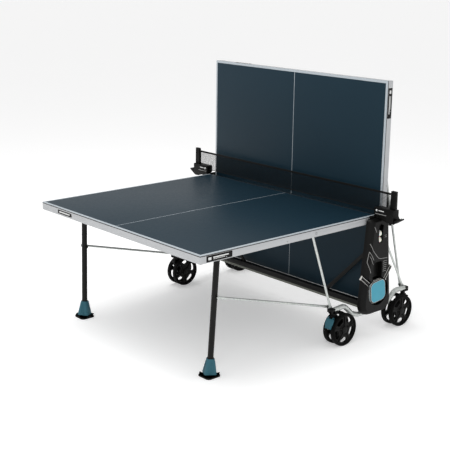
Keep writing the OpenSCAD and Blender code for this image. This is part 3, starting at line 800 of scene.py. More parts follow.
# takes a leg piece from its place in play to the rear half's folded place
def legFold():
    pivot = Vector((0, legPivot["rear"].y, legPivot["rear"].z))
    start = Matrix.Translation((0, -legHinge.y, -legHinge.z))
    flip = Matrix.Scale(-1, 4, (0, 1, 0))
    return Matrix.Translation(pivot) @ Matrix.Rotation(legTurn, 4, "X") @ flip @ start


knee = legHinge + Vector((-0.002, -leg["kneeOut"], -leg["kneeDown"]))
low = legFoot + legUp * leg["low"]
route = rounded([(*legHinge, 0), (*knee, leg["bend"] * 4), (*low, 0)], closed=False, steps=8)
rightLeg = [pipe("tube", route, leg["radius"], 6)]
barrelHalf = leg["radius"] + 0.0002
hub = barrel(
    "hub", legHinge - Vector((barrelHalf, 0, 0)), legHinge + Vector((barrelHalf, 0, 0)), leg["barrel"], 40,
)
rightLeg.append(softened(hub, 0.002))
rodPlace = legHinge - legUp * leg["rodAt"]
rodPlace.y, rodPlace.z = legPivot["front"].y + rodDrop.y, legPivot["front"].z + rodDrop.z
spacer = barrel("spacer", rodPlace, (leg["spacerEnd"], rodPlace.y, rodPlace.z), 0.008, 24)
rightLeg.append(softened(spacer, 0.0008))
rightLeg.append(boltHead("bolt", rodPlace - Vector((0.0155, 0, 0)), (-1, 0, 0), 0.009, 0.006))
collar = barrel(
    "collar", legFoot + legUp * (sleeve["to"] - 0.002), legFoot + legUp * (sleeve["to"] + 0.005),
    leg["radius"] + 0.0016, 40,
)
rightLeg.append(softened(collar, 0.0012))
rightLeg = joined("front_right_leg_tube", rightLeg)
dressed(rightLeg, "blackSteel")

# soft-square sleeve, wide at the bottom, round where the tube goes in
along = legUp.to_track_quat("Z", "Y").to_matrix().to_4x4()
tilt = Matrix.Translation(legFoot) @ along
half = sleeve["low"] / 2
cone = block("sleeve", (-half, -half, sleeve["from"]), (half, half, sleeve["to"]))
edit(cone, "FACE", lambda place, normal: normal.z > 0.9)
share = sleeve["high"] / sleeve["low"]
bpy.ops.transform.resize(value=(share, share, 1), center_override=(0, 0, sleeve["to"]))
leave()
roundEdges(cone, lambda place, way: abs(way.z) > 0.8, sleeve["corner"] * 0.8, 6)
insetFaces(cone, lambda place, normal: normal.z > 0.9, [(0.0022, 0.0012), (0.0008, -0.004)])
insetFaces(cone, lambda place, normal: normal.z < -0.9, [(0.003, 0.0015), (0.003, 0.0)])
cone = applied(cone, "BEVEL", width=0.0011, segments=2, limit_method="ANGLE", angle_limit=math.radians(38))
ridges = []
for turn in range(4):
    for offset in (-0.5, 0.5):
        rib = block(
            "ridge", (offset * 0.017 - 0.0009, half - 0.0012, sleeve["from"] + 0.010),
            (offset * 0.017 + 0.0009, half + 0.0005, sleeve["to"] - 0.012),
        )
        edit(rib, "FACE", lambda place, normal: normal.z > 0.9)
        bpy.ops.transform.translate(value=(-offset * 0.006, -(1 - share) * half * 0.75, 0))
        leave()
        rib.data.transform(Matrix.Rotation(turn * math.pi / 2, 4, "Z"))
        ridges.append(softened(rib, 0.0005, 2))
cone = joined("sleeve", [cone] + ridges)
cone.data.transform(tilt)
smoothed(cone, 35)
# darker teal: painted shade under the table
dressed(cone, "teal")

# foot pad and its screw
half = pad["side"] / 2
base = block("pad", legFoot + Vector((-half, -half, 0)), legFoot + Vector((half, half, pad["rise"] * 0.55)))
roundEdges(base, lambda place, way: abs(way.z) > 0.8, pad["corner"], 7)
insetFaces(
    base, lambda place, normal: normal.z > 0.9,
    [(0.003, 0.0022), (0.012, 0.0032), (0.010, 0.0005), (0.0015, 0.0015)],
)
base = applied(base, "BEVEL", width=0.0008, segments=2, limit_method="ANGLE", angle_limit=math.radians(30))
screw = barrel(
    "screw", legFoot + Vector((0, 0, pad["rise"] - 0.002)), legFoot + Vector((0, 0, pad["stem"])), 0.009, 24,
)
foot = smoothed(joined("foot", [base, softened(screw, 0.0008)]), 35)
dressed(foot, "black")


for end in ("front", "rear"):
    matrix = Matrix.Identity(4) if end == "front" else legFold()
    sleeves = []
    for side, turn in (("right", Matrix.Identity(4)), ("left", mirrorX)):
        tube = copied(rightLeg, f"{end}_{side}_leg_tube_", matrix @ turn)
        tube.name = f"{end}_{side}_leg_bent_tube"
        fitted(tube, end + "_legs", [f"{end}_{side}_leg"])
        sleeves.append(copied(cone, "part", matrix @ turn))
        step = copied(foot, f"{end}_{side}_foot_pad", matrix @ turn)
        fitted(step, f"{end}_{side}_foot", [f"{end}_{side}_foot"])
    fitted(joined(end + "_leg_soft_sleeves", sleeves), end + "_legs", [end + "_leg_sleeves"])
for spare in (rightLeg, cone, foot):
    bpy.data.objects.remove(spare)
print("legs and feet are made")

# struts and link rods

strut = {"x": 0.729, "wide": 0.008, "thick": 0.0048, "flat": 0.0033, "eye": 0.012, "foot": (0.33336, 0.240)}
rod = {"footX": 0.7105, "legX": 0.6614, "radius": 0.007, "flat": 0.0034, "eye": 0.011}


# tube between two pivots along x, pressed flat at both ends into eyes
def linkBar(name, start, finish, wide, thick, flat, eye, pressed=0.034):
    start, finish = Vector(start), Vector(finish)
    run = finish - start
    length = run.length
    deselectAll()
    bpy.ops.mesh.primitive_cylinder_add(vertices=28, radius=wide, depth=length, location=(0, 0, length / 2))
    piece = started(name)
    settle(piece)
    edit(piece, "EDGE", lambda place, way: abs(way.z) > 0.9)
    bpy.ops.mesh.subdivide(number_cuts=40)
    leave()
    for point in piece.data.vertices:
        end = min(point.co.z, length - point.co.z)
        press = 1 - min(1, max(0, (end - pressed * 0.55) / (pressed * 0.9)))
        press = press * press * (3 - 2 * press)
        point.co.x *= (thick / wide) * (1 - press) + (flat / wide) * press
        point.co.y *= 1 + press * 0.22
    eyes = [barrel("eye", (-flat, 0, place), (flat, 0, place), eye, 32) for place in (0, length)]
    piece = joined(name, [smoothed(piece, 50)] + [softened(one, 0.0008, 2) for one in eyes])
    direction = run.normalized()
    side = Vector((1, 0, 0)) - direction * direction.x
    side.normalize()
    across = direction.cross(side)
    turn = Matrix((side, across, direction)).transposed().to_4x4()
    piece.data.transform(Matrix.Translation(start) @ turn)
    return piece


for end in ("front", "rear"):
    sign = -1 if end == "front" else 1
    top, legJoint = jointPlace(end + "_strut_turn"), jointPlace(end + "_leg_turn")
    footPlace = at(strut["x"], sign * strut["foot"][0], strut["foot"][1])
    topPlace = Vector((strut["x"], top.y, top.z))
    bar = linkBar("strut", topPlace, footPlace, strut["wide"], strut["thick"], strut["flat"], strut["eye"])
    outer = boltHead("bolt", footPlace - Vector((0.003, 0, 0)), (-1, 0, 0), 0.0075, 0.003)
    inner = boltHead("bolt", topPlace - Vector((0.003, 0, 0)), (-1, 0, 0), 0.0075, 0.004)
    bar = dressed(joined("strut", [bar, outer, inner]), "zinc")
    twin = copied(bar, "strut2", mirrorX)
    fitted(joined(end + "_strut_bars", [bar, twin]), end + "_struts", [end + "_struts"])

    down = rodDrop if end == "front" else Matrix.Rotation(legTurn, 4, "X") @ Vector(
        (0, -rodDrop.y, rodDrop.z)
    )
    legEnd = Vector((rod["legX"], legJoint.y + down.y, legJoint.z + down.z))
    rodFoot = at(rod["footX"], sign * strut["foot"][0], strut["foot"][1])
    bar = linkBar("rod", rodFoot, legEnd, rod["radius"], rod["radius"], rod["flat"], rod["eye"])
    outer = boltHead("bolt", legEnd + Vector((0.003, 0, 0)), (1, 0, 0), 0.0075, 0.005)
    bar = dressed(joined("rod", [bar, outer]), "zinc")
    twin = copied(bar, "rod2", mirrorX)
    fitted(joined(end + "_link_rod_bars", [bar, twin]), end + "_rods", [end + "_link_rods"])
print("struts and link rods are made")

# cross beam, lower rail, side plates and braces

for node, width, finish, slot in (
    ("cross_beam", 0.0012, "blackSteel", "black_steel"),
    ("lower_rail", 0.003, "dullRail", "zinc_steel"),
    ("left_upright", 0.0008, "blackSteel", "black_steel"),
    ("right_upright", 0.0008, "blackSteel", "black_steel"),
    ("braces", 0.002, "blackSteel", "black_steel"),
):
    piece = refined(node, width, 3)
    fitted(dressed(piece, finish), "chassis", [node])
for end in ("front", "rear"):
    piece = refined(end + "_carriages", 0.0008)
    fitted(dressed(piece, "black"), end + "_carriage", [end + "_carriages"])

# wheel bars with their heads

wheelBar = {
    "x": 0.750, "radius": 0.015, "bend": 0.055,
    "route": ((0.329, 0.2275), (0.236, 0.2335), (0.164, 0.170), (0.112, 0.151)),
    "head": (0.0155, 0.300, 0.3545, 0.2085, 0.2245), "stem": 0.31836, "stop": 0.325, "stopHigh": 0.2405,
    "bracket": {
        "from": 0.715, "to": 0.7345, "thick": 0.005, "half": 0.0105, "low": 0.2095, "shelf": 0.2255,
        "high": 0.2505,
    },
}


def wheelBarPiece():
    half = [at(wheelBar["x"], -y, z) for y, z in wheelBar["route"]]
    other = [at(wheelBar["x"], y, z) for y, z in reversed(wheelBar["route"])]
    corners = [(*point, wheelBar["bend"] if 0 < i < 7 else 0) for i, point in enumerate(half + other)]
    tube = pipe("bar", rounded(corners, closed=False, steps=8), wheelBar["radius"], 6)
    looks = ("zinc", "black", "bolt")
    parts = [dressed(tube, *looks)]
    halfWide, near, far, low, high = wheelBar["head"]
    for sign in (-1, 1):
        y0, y1 = sorted((sign * near, sign * far))
        head = block("head", at(wheelBar["x"] - halfWide, y0, low), at(wheelBar["x"] + halfWide, y1, high))
        roundEdges(head, lambda place, way: abs(way.z) > 0.8, 0.009, 5)
        head = softened(head, 0.0015, 2)
        y0, y1 = sorted((sign * wheelBar["stop"], sign * far))
        stop = block(
            "stop", at(wheelBar["x"] - halfWide, y0, low),
            at(wheelBar["x"] + halfWide, y1, wheelBar["stopHigh"]),
        )
        roundEdges(stop, lambda place, way: abs(way.x) > 0.8 and place.z > high, 0.008, 5)
        stop = softened(stop, 0.0015, 2)
        neck = barrel(
            "neck", at(wheelBar["x"], sign * wheelBar["stem"], low - 0.0002),
            at(wheelBar["x"], sign * wheelBar["stem"], low + 0.006), 0.0152, 32,
        )
        cap = barrel(
            "cap", at(wheelBar["x"], sign * 0.3262, 0.2276), at(wheelBar["x"], sign * 0.3300, 0.2276), 0.0157,
            40,
        )
        insetFaces(cap, lambda place, normal: abs(normal.y) > 0.9, [(0.003, 0.0), (0.001, -0.0008)])
        footY, footZ = sign * strut["foot"][0], strut["foot"][1]
        bracket = wheelBar["bracket"]
        y0, y1 = footY - bracket["half"], footY + bracket["half"]
        shelf = softened(
            block("shelf", at(bracket["from"], y0, bracket["low"]), at(bracket["to"], y1, bracket["shelf"])),
            0.0015, 2,
        )
        lug = block(
            "lug", at(bracket["from"], y0, bracket["low"]),
            at(bracket["from"] + bracket["thick"], y1, bracket["high"]),
        )
        roundEdges(lug, lambda place, way: abs(way.x) > 0.8 and place.z > bracket["shelf"], 0.0085, 5)
        lug = softened(lug, 0.0006, 2)
        rodBolt = boltHead("bolt", at(rod["footX"] - 0.0044, footY, footZ), (-1, 0, 0), 0.008, 0.004)
        rodPin = barrel(
            "pin", at(rod["footX"] - 0.0050, footY, footZ), at(bracket["from"] + 0.001, footY, footZ), 0.0049,
            20,
        )
        strutPin = barrel(
            "pin", at(strut["x"] - 0.0030, footY, footZ), at(wheelBar["x"] - 0.010, footY, footZ), 0.0049, 20,
        )
        for piece, number in (
            (head, 1), (stop, 1), (neck, 1), (softened(cap, 0.0006, 2), 0), (shelf, 1), (lug, 1),
            (rodBolt, 2), (rodPin, 2), (strutPin, 2),
        ):
            parts.append(tinted(piece, number, *looks))
    clamp = block(
        "clamp", at(wheelBar["x"] - 0.0172, -0.022, 0.134), at(wheelBar["x"] + 0.0172, 0.022, 0.1665),
    )
    return joined("wheel_bar", parts + [tinted(softened(clamp, 0.004, 4), 1, *looks)])


bar = wheelBarPiece()
twin = copied(bar, "left_wheel_bar_tube", mirrorX)
bar.name = "right_wheel_bar_tube"
fitted(bar, "chassis", ["right_wheel_bar"])
fitted(twin, "chassis", ["left_wheel_bar"])
print("chassis is made")

# casters

caster = {
    "axleY": 0.26536, "stemY": 0.31836, "wheel": 0.1, "wide": 0.030, "gap": 0.030, "windows": 5,
    "pin": (0.0785, 0.1785),
}


# one wheel on the x axis, centred on the origin
def wheelPiece():
    half = caster["wide"] / 2
    tyre = barrel("wheel", (-half, 0, 0), (half, 0, 0), caster["wheel"], 120)

    def face(place, normal):
        return abs(normal.x) > 0.9

    insetFaces(
        tyre, face, [(0.0125, 0.0), (0.0025, -0.0035), (0.0022, -0.0045), (0.0315, 0.0), (0.0035, 0.0)],
    )
    insetFaces(tyre, lambda place, normal: abs(normal.x) > 0.9 and place.length < 0.012, [(0.022, 0.0)])
    tyre = mended(tyre)
    roundEdges(
        tyre, lambda place, way: math.hypot(place.y, place.z) > caster["wheel"] * 0.995 and abs(way.x) < 0.3,
        0.0055, 4,
    )
    outer, inner, centre = 0.0795, 0.0515, 360 / caster["windows"]
    window = []
    for reach, spread, radius in ((inner, 21, 0.007), (outer, 25.5, 0.009)):
        for sign in ((-1, 1) if reach == inner else (1, -1)):
            angle = math.radians(90 + sign * spread)
            window.append((reach * math.cos(angle), reach * math.sin(angle), radius))
    window.insert(3, (0, outer * 1.06, 0.05))
    outline = rounded(window, steps=5)
    cutters = []
    for turn in range(caster["windows"]):
        cutter = plate("window", outline, -0.05, 0.05)
        cutter.data.transform(
            Matrix.Rotation(math.radians(turn * centre), 4, "X") @ Matrix.Translation((0, -netY, 0))
        )
        cutters.append(cutter)
    tyre = combined(tyre, joined("windows", cutters))
    tyre = applied(
        tyre, "BEVEL", width=0.0012, segments=2, limit_method="ANGLE", angle_limit=math.radians(50),
    )
    smoothed(tyre, 32)
    looks = ("tyre", "black", "bolt")
    dressed(tyre, *looks)
    paintFaces(tyre, 1, lambda place, normal: math.hypot(place.y, place.z) < caster["wheel"] - 0.0165)
    parts = [tyre]
    for side in (-1, 1):
        hub = barrel("hub", (side * 0.004, 0, 0), (side * (half - 0.0005), 0, 0), 0.024, 40, 0.0205)
        hub = softened(hub, 0.002)
        cap = barrel(
            "cap", (side * (half - 0.0007), 0, 0), (side * (half + 0.0008), 0, 0), 0.0125, 32, 0.0115,
        )
        for turn in range(caster["windows"]):
            rib = block("rib", (-0.0035, -0.0022, 0.021), (0.0035, 0.0022, 0.083))
            rib.data.transform(Matrix.Translation((side * 0.0085, 0, 0)))
            rib = softened(rib, 0.0015, 2)
            rib.data.transform(Matrix.Rotation(math.radians((turn + 0.5) * centre), 4, "X"))
            parts.append(tinted(rib, 1, *looks))
        ring = barrel("ring", (side * 0.0045, 0, 0), (side * 0.0095, 0, 0), 0.0365, 60)
        insetFaces(ring, lambda place, normal: normal.x * side > 0.9, [(0.003, 0.0), (0.0015, -0.003)])
        for piece in (hub, smoothed(cap, 30), softened(ring, 0.0008, 2)):
            parts.append(tinted(piece, 1, *looks))
    return joined("wheel", parts)


# fork between the wheels, drawn for the front right caster
def forkPiece():
    x, half = wheelBar["x"], 0.012
    axleY, stemY = -caster["axleY"], -caster["stemY"]
    outline = rounded([
        (stemY - 0.020, 0.196, 0.008), (stemY - 0.0225, 0.158, 0.012), (axleY - 0.040, 0.088, 0.022),
        (axleY + 0.022, 0.074, 0.022),
        (axleY + 0.024, 0.128, 0.03), (stemY + 0.021, 0.184, 0.010), (stemY + 0.017, 0.196, 0.006),
    ], steps=6)
    body = plate("body", outline, x - half, x + half)
    insetFaces(body, lambda place, normal: abs(normal.x) > 0.9, [(0.004, 0.0), (0.0015, -0.0022)])
    body = applied(
        body, "BEVEL", width=0.0022, segments=3, limit_method="ANGLE", angle_limit=math.radians(40),
    )
    stem = barrel("stem", at(x, stemY, 0.190), at(x, stemY, 0.2078), 0.0148, 32)
    axle = barrel("axle", at(x - 0.0435, axleY, 0.1), at(x + 0.0435, axleY, 0.1), 0.0078, 24)
    pinY, pinZ = axleY - caster["pin"][0], caster["pin"][1]
    lug = plate("lug", rounded([
        (pinY - 0.006, pinZ - 0.007, 0.004), (pinY + 0.030, pinZ - 0.026, 0.004),
        (pinY + 0.034, pinZ + 0.002, 0.004), (pinY, pinZ + 0.007, 0.006),
    ]), x - 0.0118, x + 0.0118)
    pin = barrel("pin", at(x - 0.0215, pinY, pinZ), at(x + 0.0215, pinY, pinZ), 0.0049, 20)
    parts = [
        smoothed(body, 35), softened(stem, 0.002), softened(axle, 0.001), softened(lug, 0.0015),
        softened(pin, 0.0006),
    ]
    for piece in parts:
        dressed(piece, "black", "bolt")
    paintFaces(parts[2], 1, anything)
    return joined("fork", parts)


wheel = wheelPiece()
fork = forkPiece()
offset = (caster["gap"] + caster["wide"]) / 2
pair = joined("pair", [
    copied(wheel, "a", Matrix.Translation(at(wheelBar["x"] - offset, -caster["axleY"], caster["wheel"]))),
    copied(
        wheel, "b",
        Matrix.Translation(
            at(wheelBar["x"] + offset, -caster["axleY"], caster["wheel"])
        ) @ Matrix.Rotation(math.radians(36), 4, "X"),
    ),
])
for end, flip in (("front", Matrix.Identity(4)), ("rear", mirrorNet)):
    for side, turn in (("right", Matrix.Identity(4)), ("left", mirrorX)):
        corner = f"{end}_{side}"
        wheels = copied(pair, corner + "_twin_wheels", flip @ turn)
        fitted(wheels, corner + "_wheel_pair", [corner + "_wheels"])
        body = copied(fork, corner + "_caster_fork", flip @ turn)
        fitted(body, corner + "_caster", [corner + "_fork"])
for spare in (wheel, fork, pair):
    bpy.data.objects.remove(spare)

# brake levers

brake = {"from": 0.1042, "to": 0.1088, "half": 0.030, "start": 12, "sweep": 30, "flare": 0.009}


def brakePiece():
    x, axleY, axleZ = wheelBar["x"], -caster["axleY"], caster["wheel"]
    deselectAll()
    bpy.ops.mesh.primitive_plane_add(size=1)
    blade = started("blade")
    start = math.radians(brake["start"])
    for point, (side, reach) in zip(blade.data.vertices, ((-1, "from"), (1, "from"), (-1, "to"), (1, "to"))):
        radius = brake[reach]
        point.co = at(
            x + side * brake["half"], axleY - radius * math.cos(start), axleZ + radius * math.sin(start),
        )
    edit(blade, "FACE")
    bpy.ops.mesh.spin(
        steps=14, angle=math.radians(brake["sweep"]), center=at(x, axleY, axleZ), axis=(1, 0, 0),
    )
    leave()
    mended(blade)
    for point in blade.data.vertices:
        offset = point.co - at(0, axleY, axleZ)
        angle = math.degrees(math.atan2(offset.z, -offset.y))
        share = max(0, min(1, (angle - brake["start"]) / brake["sweep"]))
        narrow = 0.74 + 0.26 * min(1, share * 1.6)
        point.co.x = x + (point.co.x - x) * narrow
        point.co += Vector((0, offset.y, offset.z)).normalized() * brake["flare"] * share * share
    roundEdges(
        blade, lambda place, way: abs(way.x) < 0.2 and abs(abs(place.x - x) - brake["half"]) < 0.008, 0.0008,
        2,
    )
    blade = softened(blade, 0.0010, 2)
    parts = [blade]
    pinY, pinZ = axleY - caster["pin"][0], caster["pin"][1]
    for side in (-1, 1):
        ear = plate("ear", rounded([
            (pinY - 0.0075, pinZ - 0.008, 0.006), (pinY + 0.008, pinZ - 0.007, 0.006),
            (pinY + 0.008, pinZ + 0.008, 0.007), (pinY - 0.007, pinZ + 0.008, 0.007),
        ]), x + side * 0.0172 - 0.0034, x + side * 0.0172 + 0.0034)
        parts.append(softened(ear, 0.001, 2))
    lip = pipe(
        "lip",
        [
            at(
                x + share * brake["half"] * 0.80, axleY - 0.1068 * math.cos(start),
                axleZ + 0.1068 * math.sin(start) + 0.0004,
            )
            for share in (-0.97, 0.97)
        ],
        0.0032, 3,
    )
    parts.append(lip)
    return dressed(joined("brake", parts), "teal")


lever = brakePiece()
fitted(copied(lever, "front_right_brake_lever"), "front_right_brake", ["front_right_brake"])
fitted(
    copied(lever, "rear_left_brake_lever", mirrorNet @ mirrorX), "rear_left_brake",
    ["rear_left_brake"],
)
bpy.data.objects.remove(lever)
print("casters and brakes are made")

# side covers

cover = {
    "from": 0.774, "to": 0.818, "wall": 0.003,
    "outline": (
        (-0.0925, 0.748, 0.022), (0.0800, 0.748, 0.022), (0.1350, 0.152, 0.070), (-0.1530, 0.152, 0.075),
    ),
    "crown": (
        (0, 0), (0, 0.010), (0.0015, 0.016), (0.0040, 0.022), (0.0080, 0.0275), (0.0135, 0.0325),
        (0.0195, 0.0370), (0.0245, 0.0400), (0.0280, 0.0425), (0.0300, 0.0440),
    ),
}


# one outline of the cover, that far in from its base outline
def coverRing(x, inset):
    corners = []
    for y, z, radius in cover["outline"]:
        upper = z > 0.45
        round_ = max(0.008, radius - inset / 3) if upper else radius - inset / 2
        corners.append((math.copysign(abs(y) - inset, y), z + (-inset / 2 if upper else inset / 2), round_))
    return [Vector((x, netY + y, z)) for y, z in rounded(corners, steps=10)]


# bridges outlines of the same count, one after the other, and closes both ends
def lofted(name, rings):
    loops = []
    for ring in rings:
        deselectAll()
        bpy.ops.mesh.primitive_circle_add(vertices=len(ring), radius=1, fill_type="NOTHING")
        loops.append(started("loop"))
        for point, place in zip(loops[-1].data.vertices, ring):
            point.co = place
    skin = joined(name, loops)
    places = [ring[0].x for ring in rings]

    def onRings(*which):
        return lambda place, way: abs(way.x) < 0.01 and any(abs(place.x - x) < 0.00005 for x in which)

    for near, far in zip(places, places[1:]):
        edit(skin, "EDGE", onRings(near, far))
        bpy.ops.mesh.bridge_edge_loops()
        leave()
    for x in (places[0], places[-1]):
        edit(skin, "EDGE", onRings(x))
        bpy.ops.mesh.edge_face_add()
        leave()
    return mended(skin)


def coverForm(name):
    return lofted(name, [coverRing(cover["from"] + rise, inset) for inset, rise in cover["crown"]])


# the space inside the cover, one wall in from its form
def coverHollow(name):
    wall = cover["wall"]
    rings = [coverRing(cover["from"] - wall / 2, wall)]
    rings += [coverRing(cover["from"] + rise - wall, inset + wall) for inset, rise in cover["crown"][1:]]
    return lofted(name, rings)


def coverShell(name):
    return combined(coverForm(name), coverHollow("hollow"))


leftCover = coverShell("left_cover")
leftCover.data.transform(mirrorX)
leftCover.data.flip_normals()
leftCover = smoothed(leftCover, 30)
fitted(dressed(leftCover, "black"), "chassis", ["left_pod"])

balls = {"radius": 0.020, "x": 0.796, "y": -0.006, "z": (0.614, 0.6545)}
bats = {
    "floor": 0.795, "y": -0.008, "z": 0.296, "recess": 0.089,
    "blade": 0.142, "corner": 0.040, "thick": 0.009, "neck": 0.070, "reach": 0.182,
    "inner": {"x": 0.796, "y": -0.012, "angle": 142}, "outer": {"x": 0.806, "y": -0.004, "angle": 52},
}


def rightCoverPiece():
    hollow = coverHollow("hollow")
    tray = barrel(
        "tray", at(bats["floor"] - 0.003, bats["y"], bats["z"]),
        at(cover["to"] + 0.004, bats["y"], bats["z"]), bats["recess"] + 0.003, 72,
    )
    tube = barrel(
        "tube", at(balls["x"], balls["y"], 0.5915), at(balls["x"], balls["y"], 0.7165),
        balls["radius"] + 0.0031, 48,
    )
    well = block(
        "well", at(bats["floor"] - 0.010, bats["y"] - 0.064, 0.380),
        at(cover["to"] + 0.002, bats["y"] + 0.032, 0.488),
    )
    for part in (tray, tube, well):
        hollow = combined(hollow, part)
    shell = combined(coverForm("right_cover"), hollow)
    cutters = [
        barrel(
            "cut", at(balls["x"], balls["y"], 0.5938), at(balls["x"], balls["y"], 0.716),
            balls["radius"] + 0.0006, 48,
        ),
        barrel(
            "cut", at(bats["floor"], bats["y"], bats["z"]), at(0.83, bats["y"], bats["z"]), bats["recess"],
            72,
        ),
        barrel(
            "cut", at(balls["x"], balls["y"], 0.692), at(0.83, balls["y"], 0.692), balls["radius"] + 0.002,
            40,
        ),
    ]
    slot = plate("cut", rounded([
        (balls["y"] - 0.020, 0.598, 0.015), (balls["y"] + 0.015, 0.598, 0.015),
        (balls["y"] + 0.015, 0.700, 0.004), (balls["y"] - 0.020, 0.700, 0.004),
    ]), balls["x"], 0.83)
    finger = plate("cut", rounded([
        (bats["y"] - 0.060, 0.370, 0.004), (bats["y"] + 0.026, 0.370, 0.004),
        (bats["y"] + 0.022, 0.484, 0.012), (bats["y"] - 0.048, 0.484, 0.012),
    ]), bats["floor"] - 0.007, 0.83)
    cutters += [slot, finger]
    for bat in ("inner", "outer"):
        channel = block("cut", (0, 0, -0.018), (0.06, 0.220, 0.018))
        turn = Matrix.Translation(
            at(bats["floor"], bats[bat]["y"], bats["z"])
        ) @ Matrix.Rotation(math.radians(bats[bat]["angle"]), 4, "X")
        channel.data.transform(turn)
        cutters.append(channel)
    for cutter in cutters:
        shell = combined(shell, cutter)
    return smoothed(shell, 30)


rightCover = rightCoverPiece()
dressed(rightCover, "black", "smoothBlack")


# how far out the cover's face is at that place
def faceAt(y, z):
    side = 0 if y < 0 else 1
    (topY, topZ, _), (lowY, lowZ, _) = cover["outline"][side], cover["outline"][3 - side]
    reach = abs(topY + (lowY - topY) * (topZ - z) / (topZ - lowZ)) - abs(y)
    inset = max(0, min(reach, 2 * (topZ - z)))
    for (near, low), (far, high) in zip(cover["crown"][1:], cover["crown"][2:]):
        if inset <= far:
            return cover["from"] + low + (high - low) * (inset - near) / (far - near)
    return cover["to"]


# a low bead along a line of points on the cover's face
def bead(corners, radius=0.0013, sink=0.0002):
    fine = []
    line = rounded(corners, closed=False, steps=8)
    for a, b in zip(line, line[1:]):
        cuts = max(1, round((b - a).length / 0.006))
        fine += [a + (b - a) * k / cuts for k in range(cuts)]
    route = [(faceAt(y, z) - sink, netY + y, z) for y, z in fine + [line[-1]]]
    return pipe("bead", route, radius, 3)


accents = [
    bead([(-0.068, 0.705, 0), (-0.050, 0.672, 0)], 0.0018),
    bead([(-0.092, 0.605, 0), (-0.072, 0.560, 0.05), (-0.015, 0.500, 0.05), (0.062, 0.495, 0)], 0.0017),
    bead([(-0.096, 0.556, 0), (-0.062, 0.500, 0)], 0.0016),
    bead([(-0.096, 0.556, 0), (-0.108, 0.492, 0.03), (-0.086, 0.425, 0)], 0.0017),
    bead([(-0.094, 0.530, 0), (-0.066, 0.474, 0)], 0.0014),
]
for row in range(6):
    z = 0.478 - row * 0.0125
    accents.append(bead([(0.024, z, 0), (0.060 - row * 0.0015, z, 0)], 0.0014))
for row in range(2):
    accents.append(bead([(0.026, 0.640 - row * 0.011, 0), (0.045, 0.640 - row * 0.011, 0)], 0.0015))
accents = joined("right_cover_accents", accents)
fitted(dressed(accents, "accent"), "chassis")

# raised lips round the ball slot, the finger well and the round opening at the top of the slot
lips = [
    bead(
        [
            (balls["y"] - 0.0225, 0.700, 0), (balls["y"] - 0.0225, 0.5995, 0.0165),
            (balls["y"] + 0.0165, 0.5995, 0.0135), (balls["y"] + 0.0165, 0.700, 0),
        ],
        0.0018, 0.0006,
    ),
    bead(
        [
            (bats["y"] - 0.062, 0.392, 0), (bats["y"] - 0.050, 0.4865, 0.014),
            (bats["y"] + 0.028, 0.4865, 0.014), (bats["y"] + 0.030, 0.392, 0),
        ],
        0.0016, 0.0006,
    ),
]
ring = [
    at(
        cover["to"] - 0.0006, balls["y"] + 0.0235 * math.cos(math.radians(a)),
        0.692 + 0.0235 * math.sin(math.radians(a)),
    )
    for a in range(-20, 201, 10)
]
lips.append(pipe("lip", ring, 0.0018, 3))
lips = joined("right_cover_lips", lips)
fitted(dressed(lips, "smoothBlack"), "chassis")
fitted(rightCover, "chassis", ["right_pod"])
print("side covers are made")

# balls and bats

shells = []
for z in balls["z"]:
    deselectAll()
    bpy.ops.mesh.primitive_uv_sphere_add(
        segments=64, ring_count=32, radius=balls["radius"] - 0.00005, location=at(balls["x"], balls["y"], z),
        rotation=(0.4, 0.9, 0),
    )
    ball = started("ball")
    settle(ball)
    shells.append(ball)
    seam = [
        Vector(
            (balls["radius"] * math.cos(a * math.pi / 24), balls["radius"] * math.sin(a * math.pi / 24), 0)
        )
        for a in range(49)
    ]
    tilt = Matrix.Rotation(0.5, 3, "X") @ Matrix.Rotation(0.9, 3, "Y")
    shells.append(
        pipe("seam", [tilt @ point * 0.9975 + at(balls["x"], balls["y"], z) for point in seam], 0.00012, 1)
    )
fitted(smoothed(dressed(joined("table_tennis_balls", shells), "ball"), 60), "balls", ["balls"])


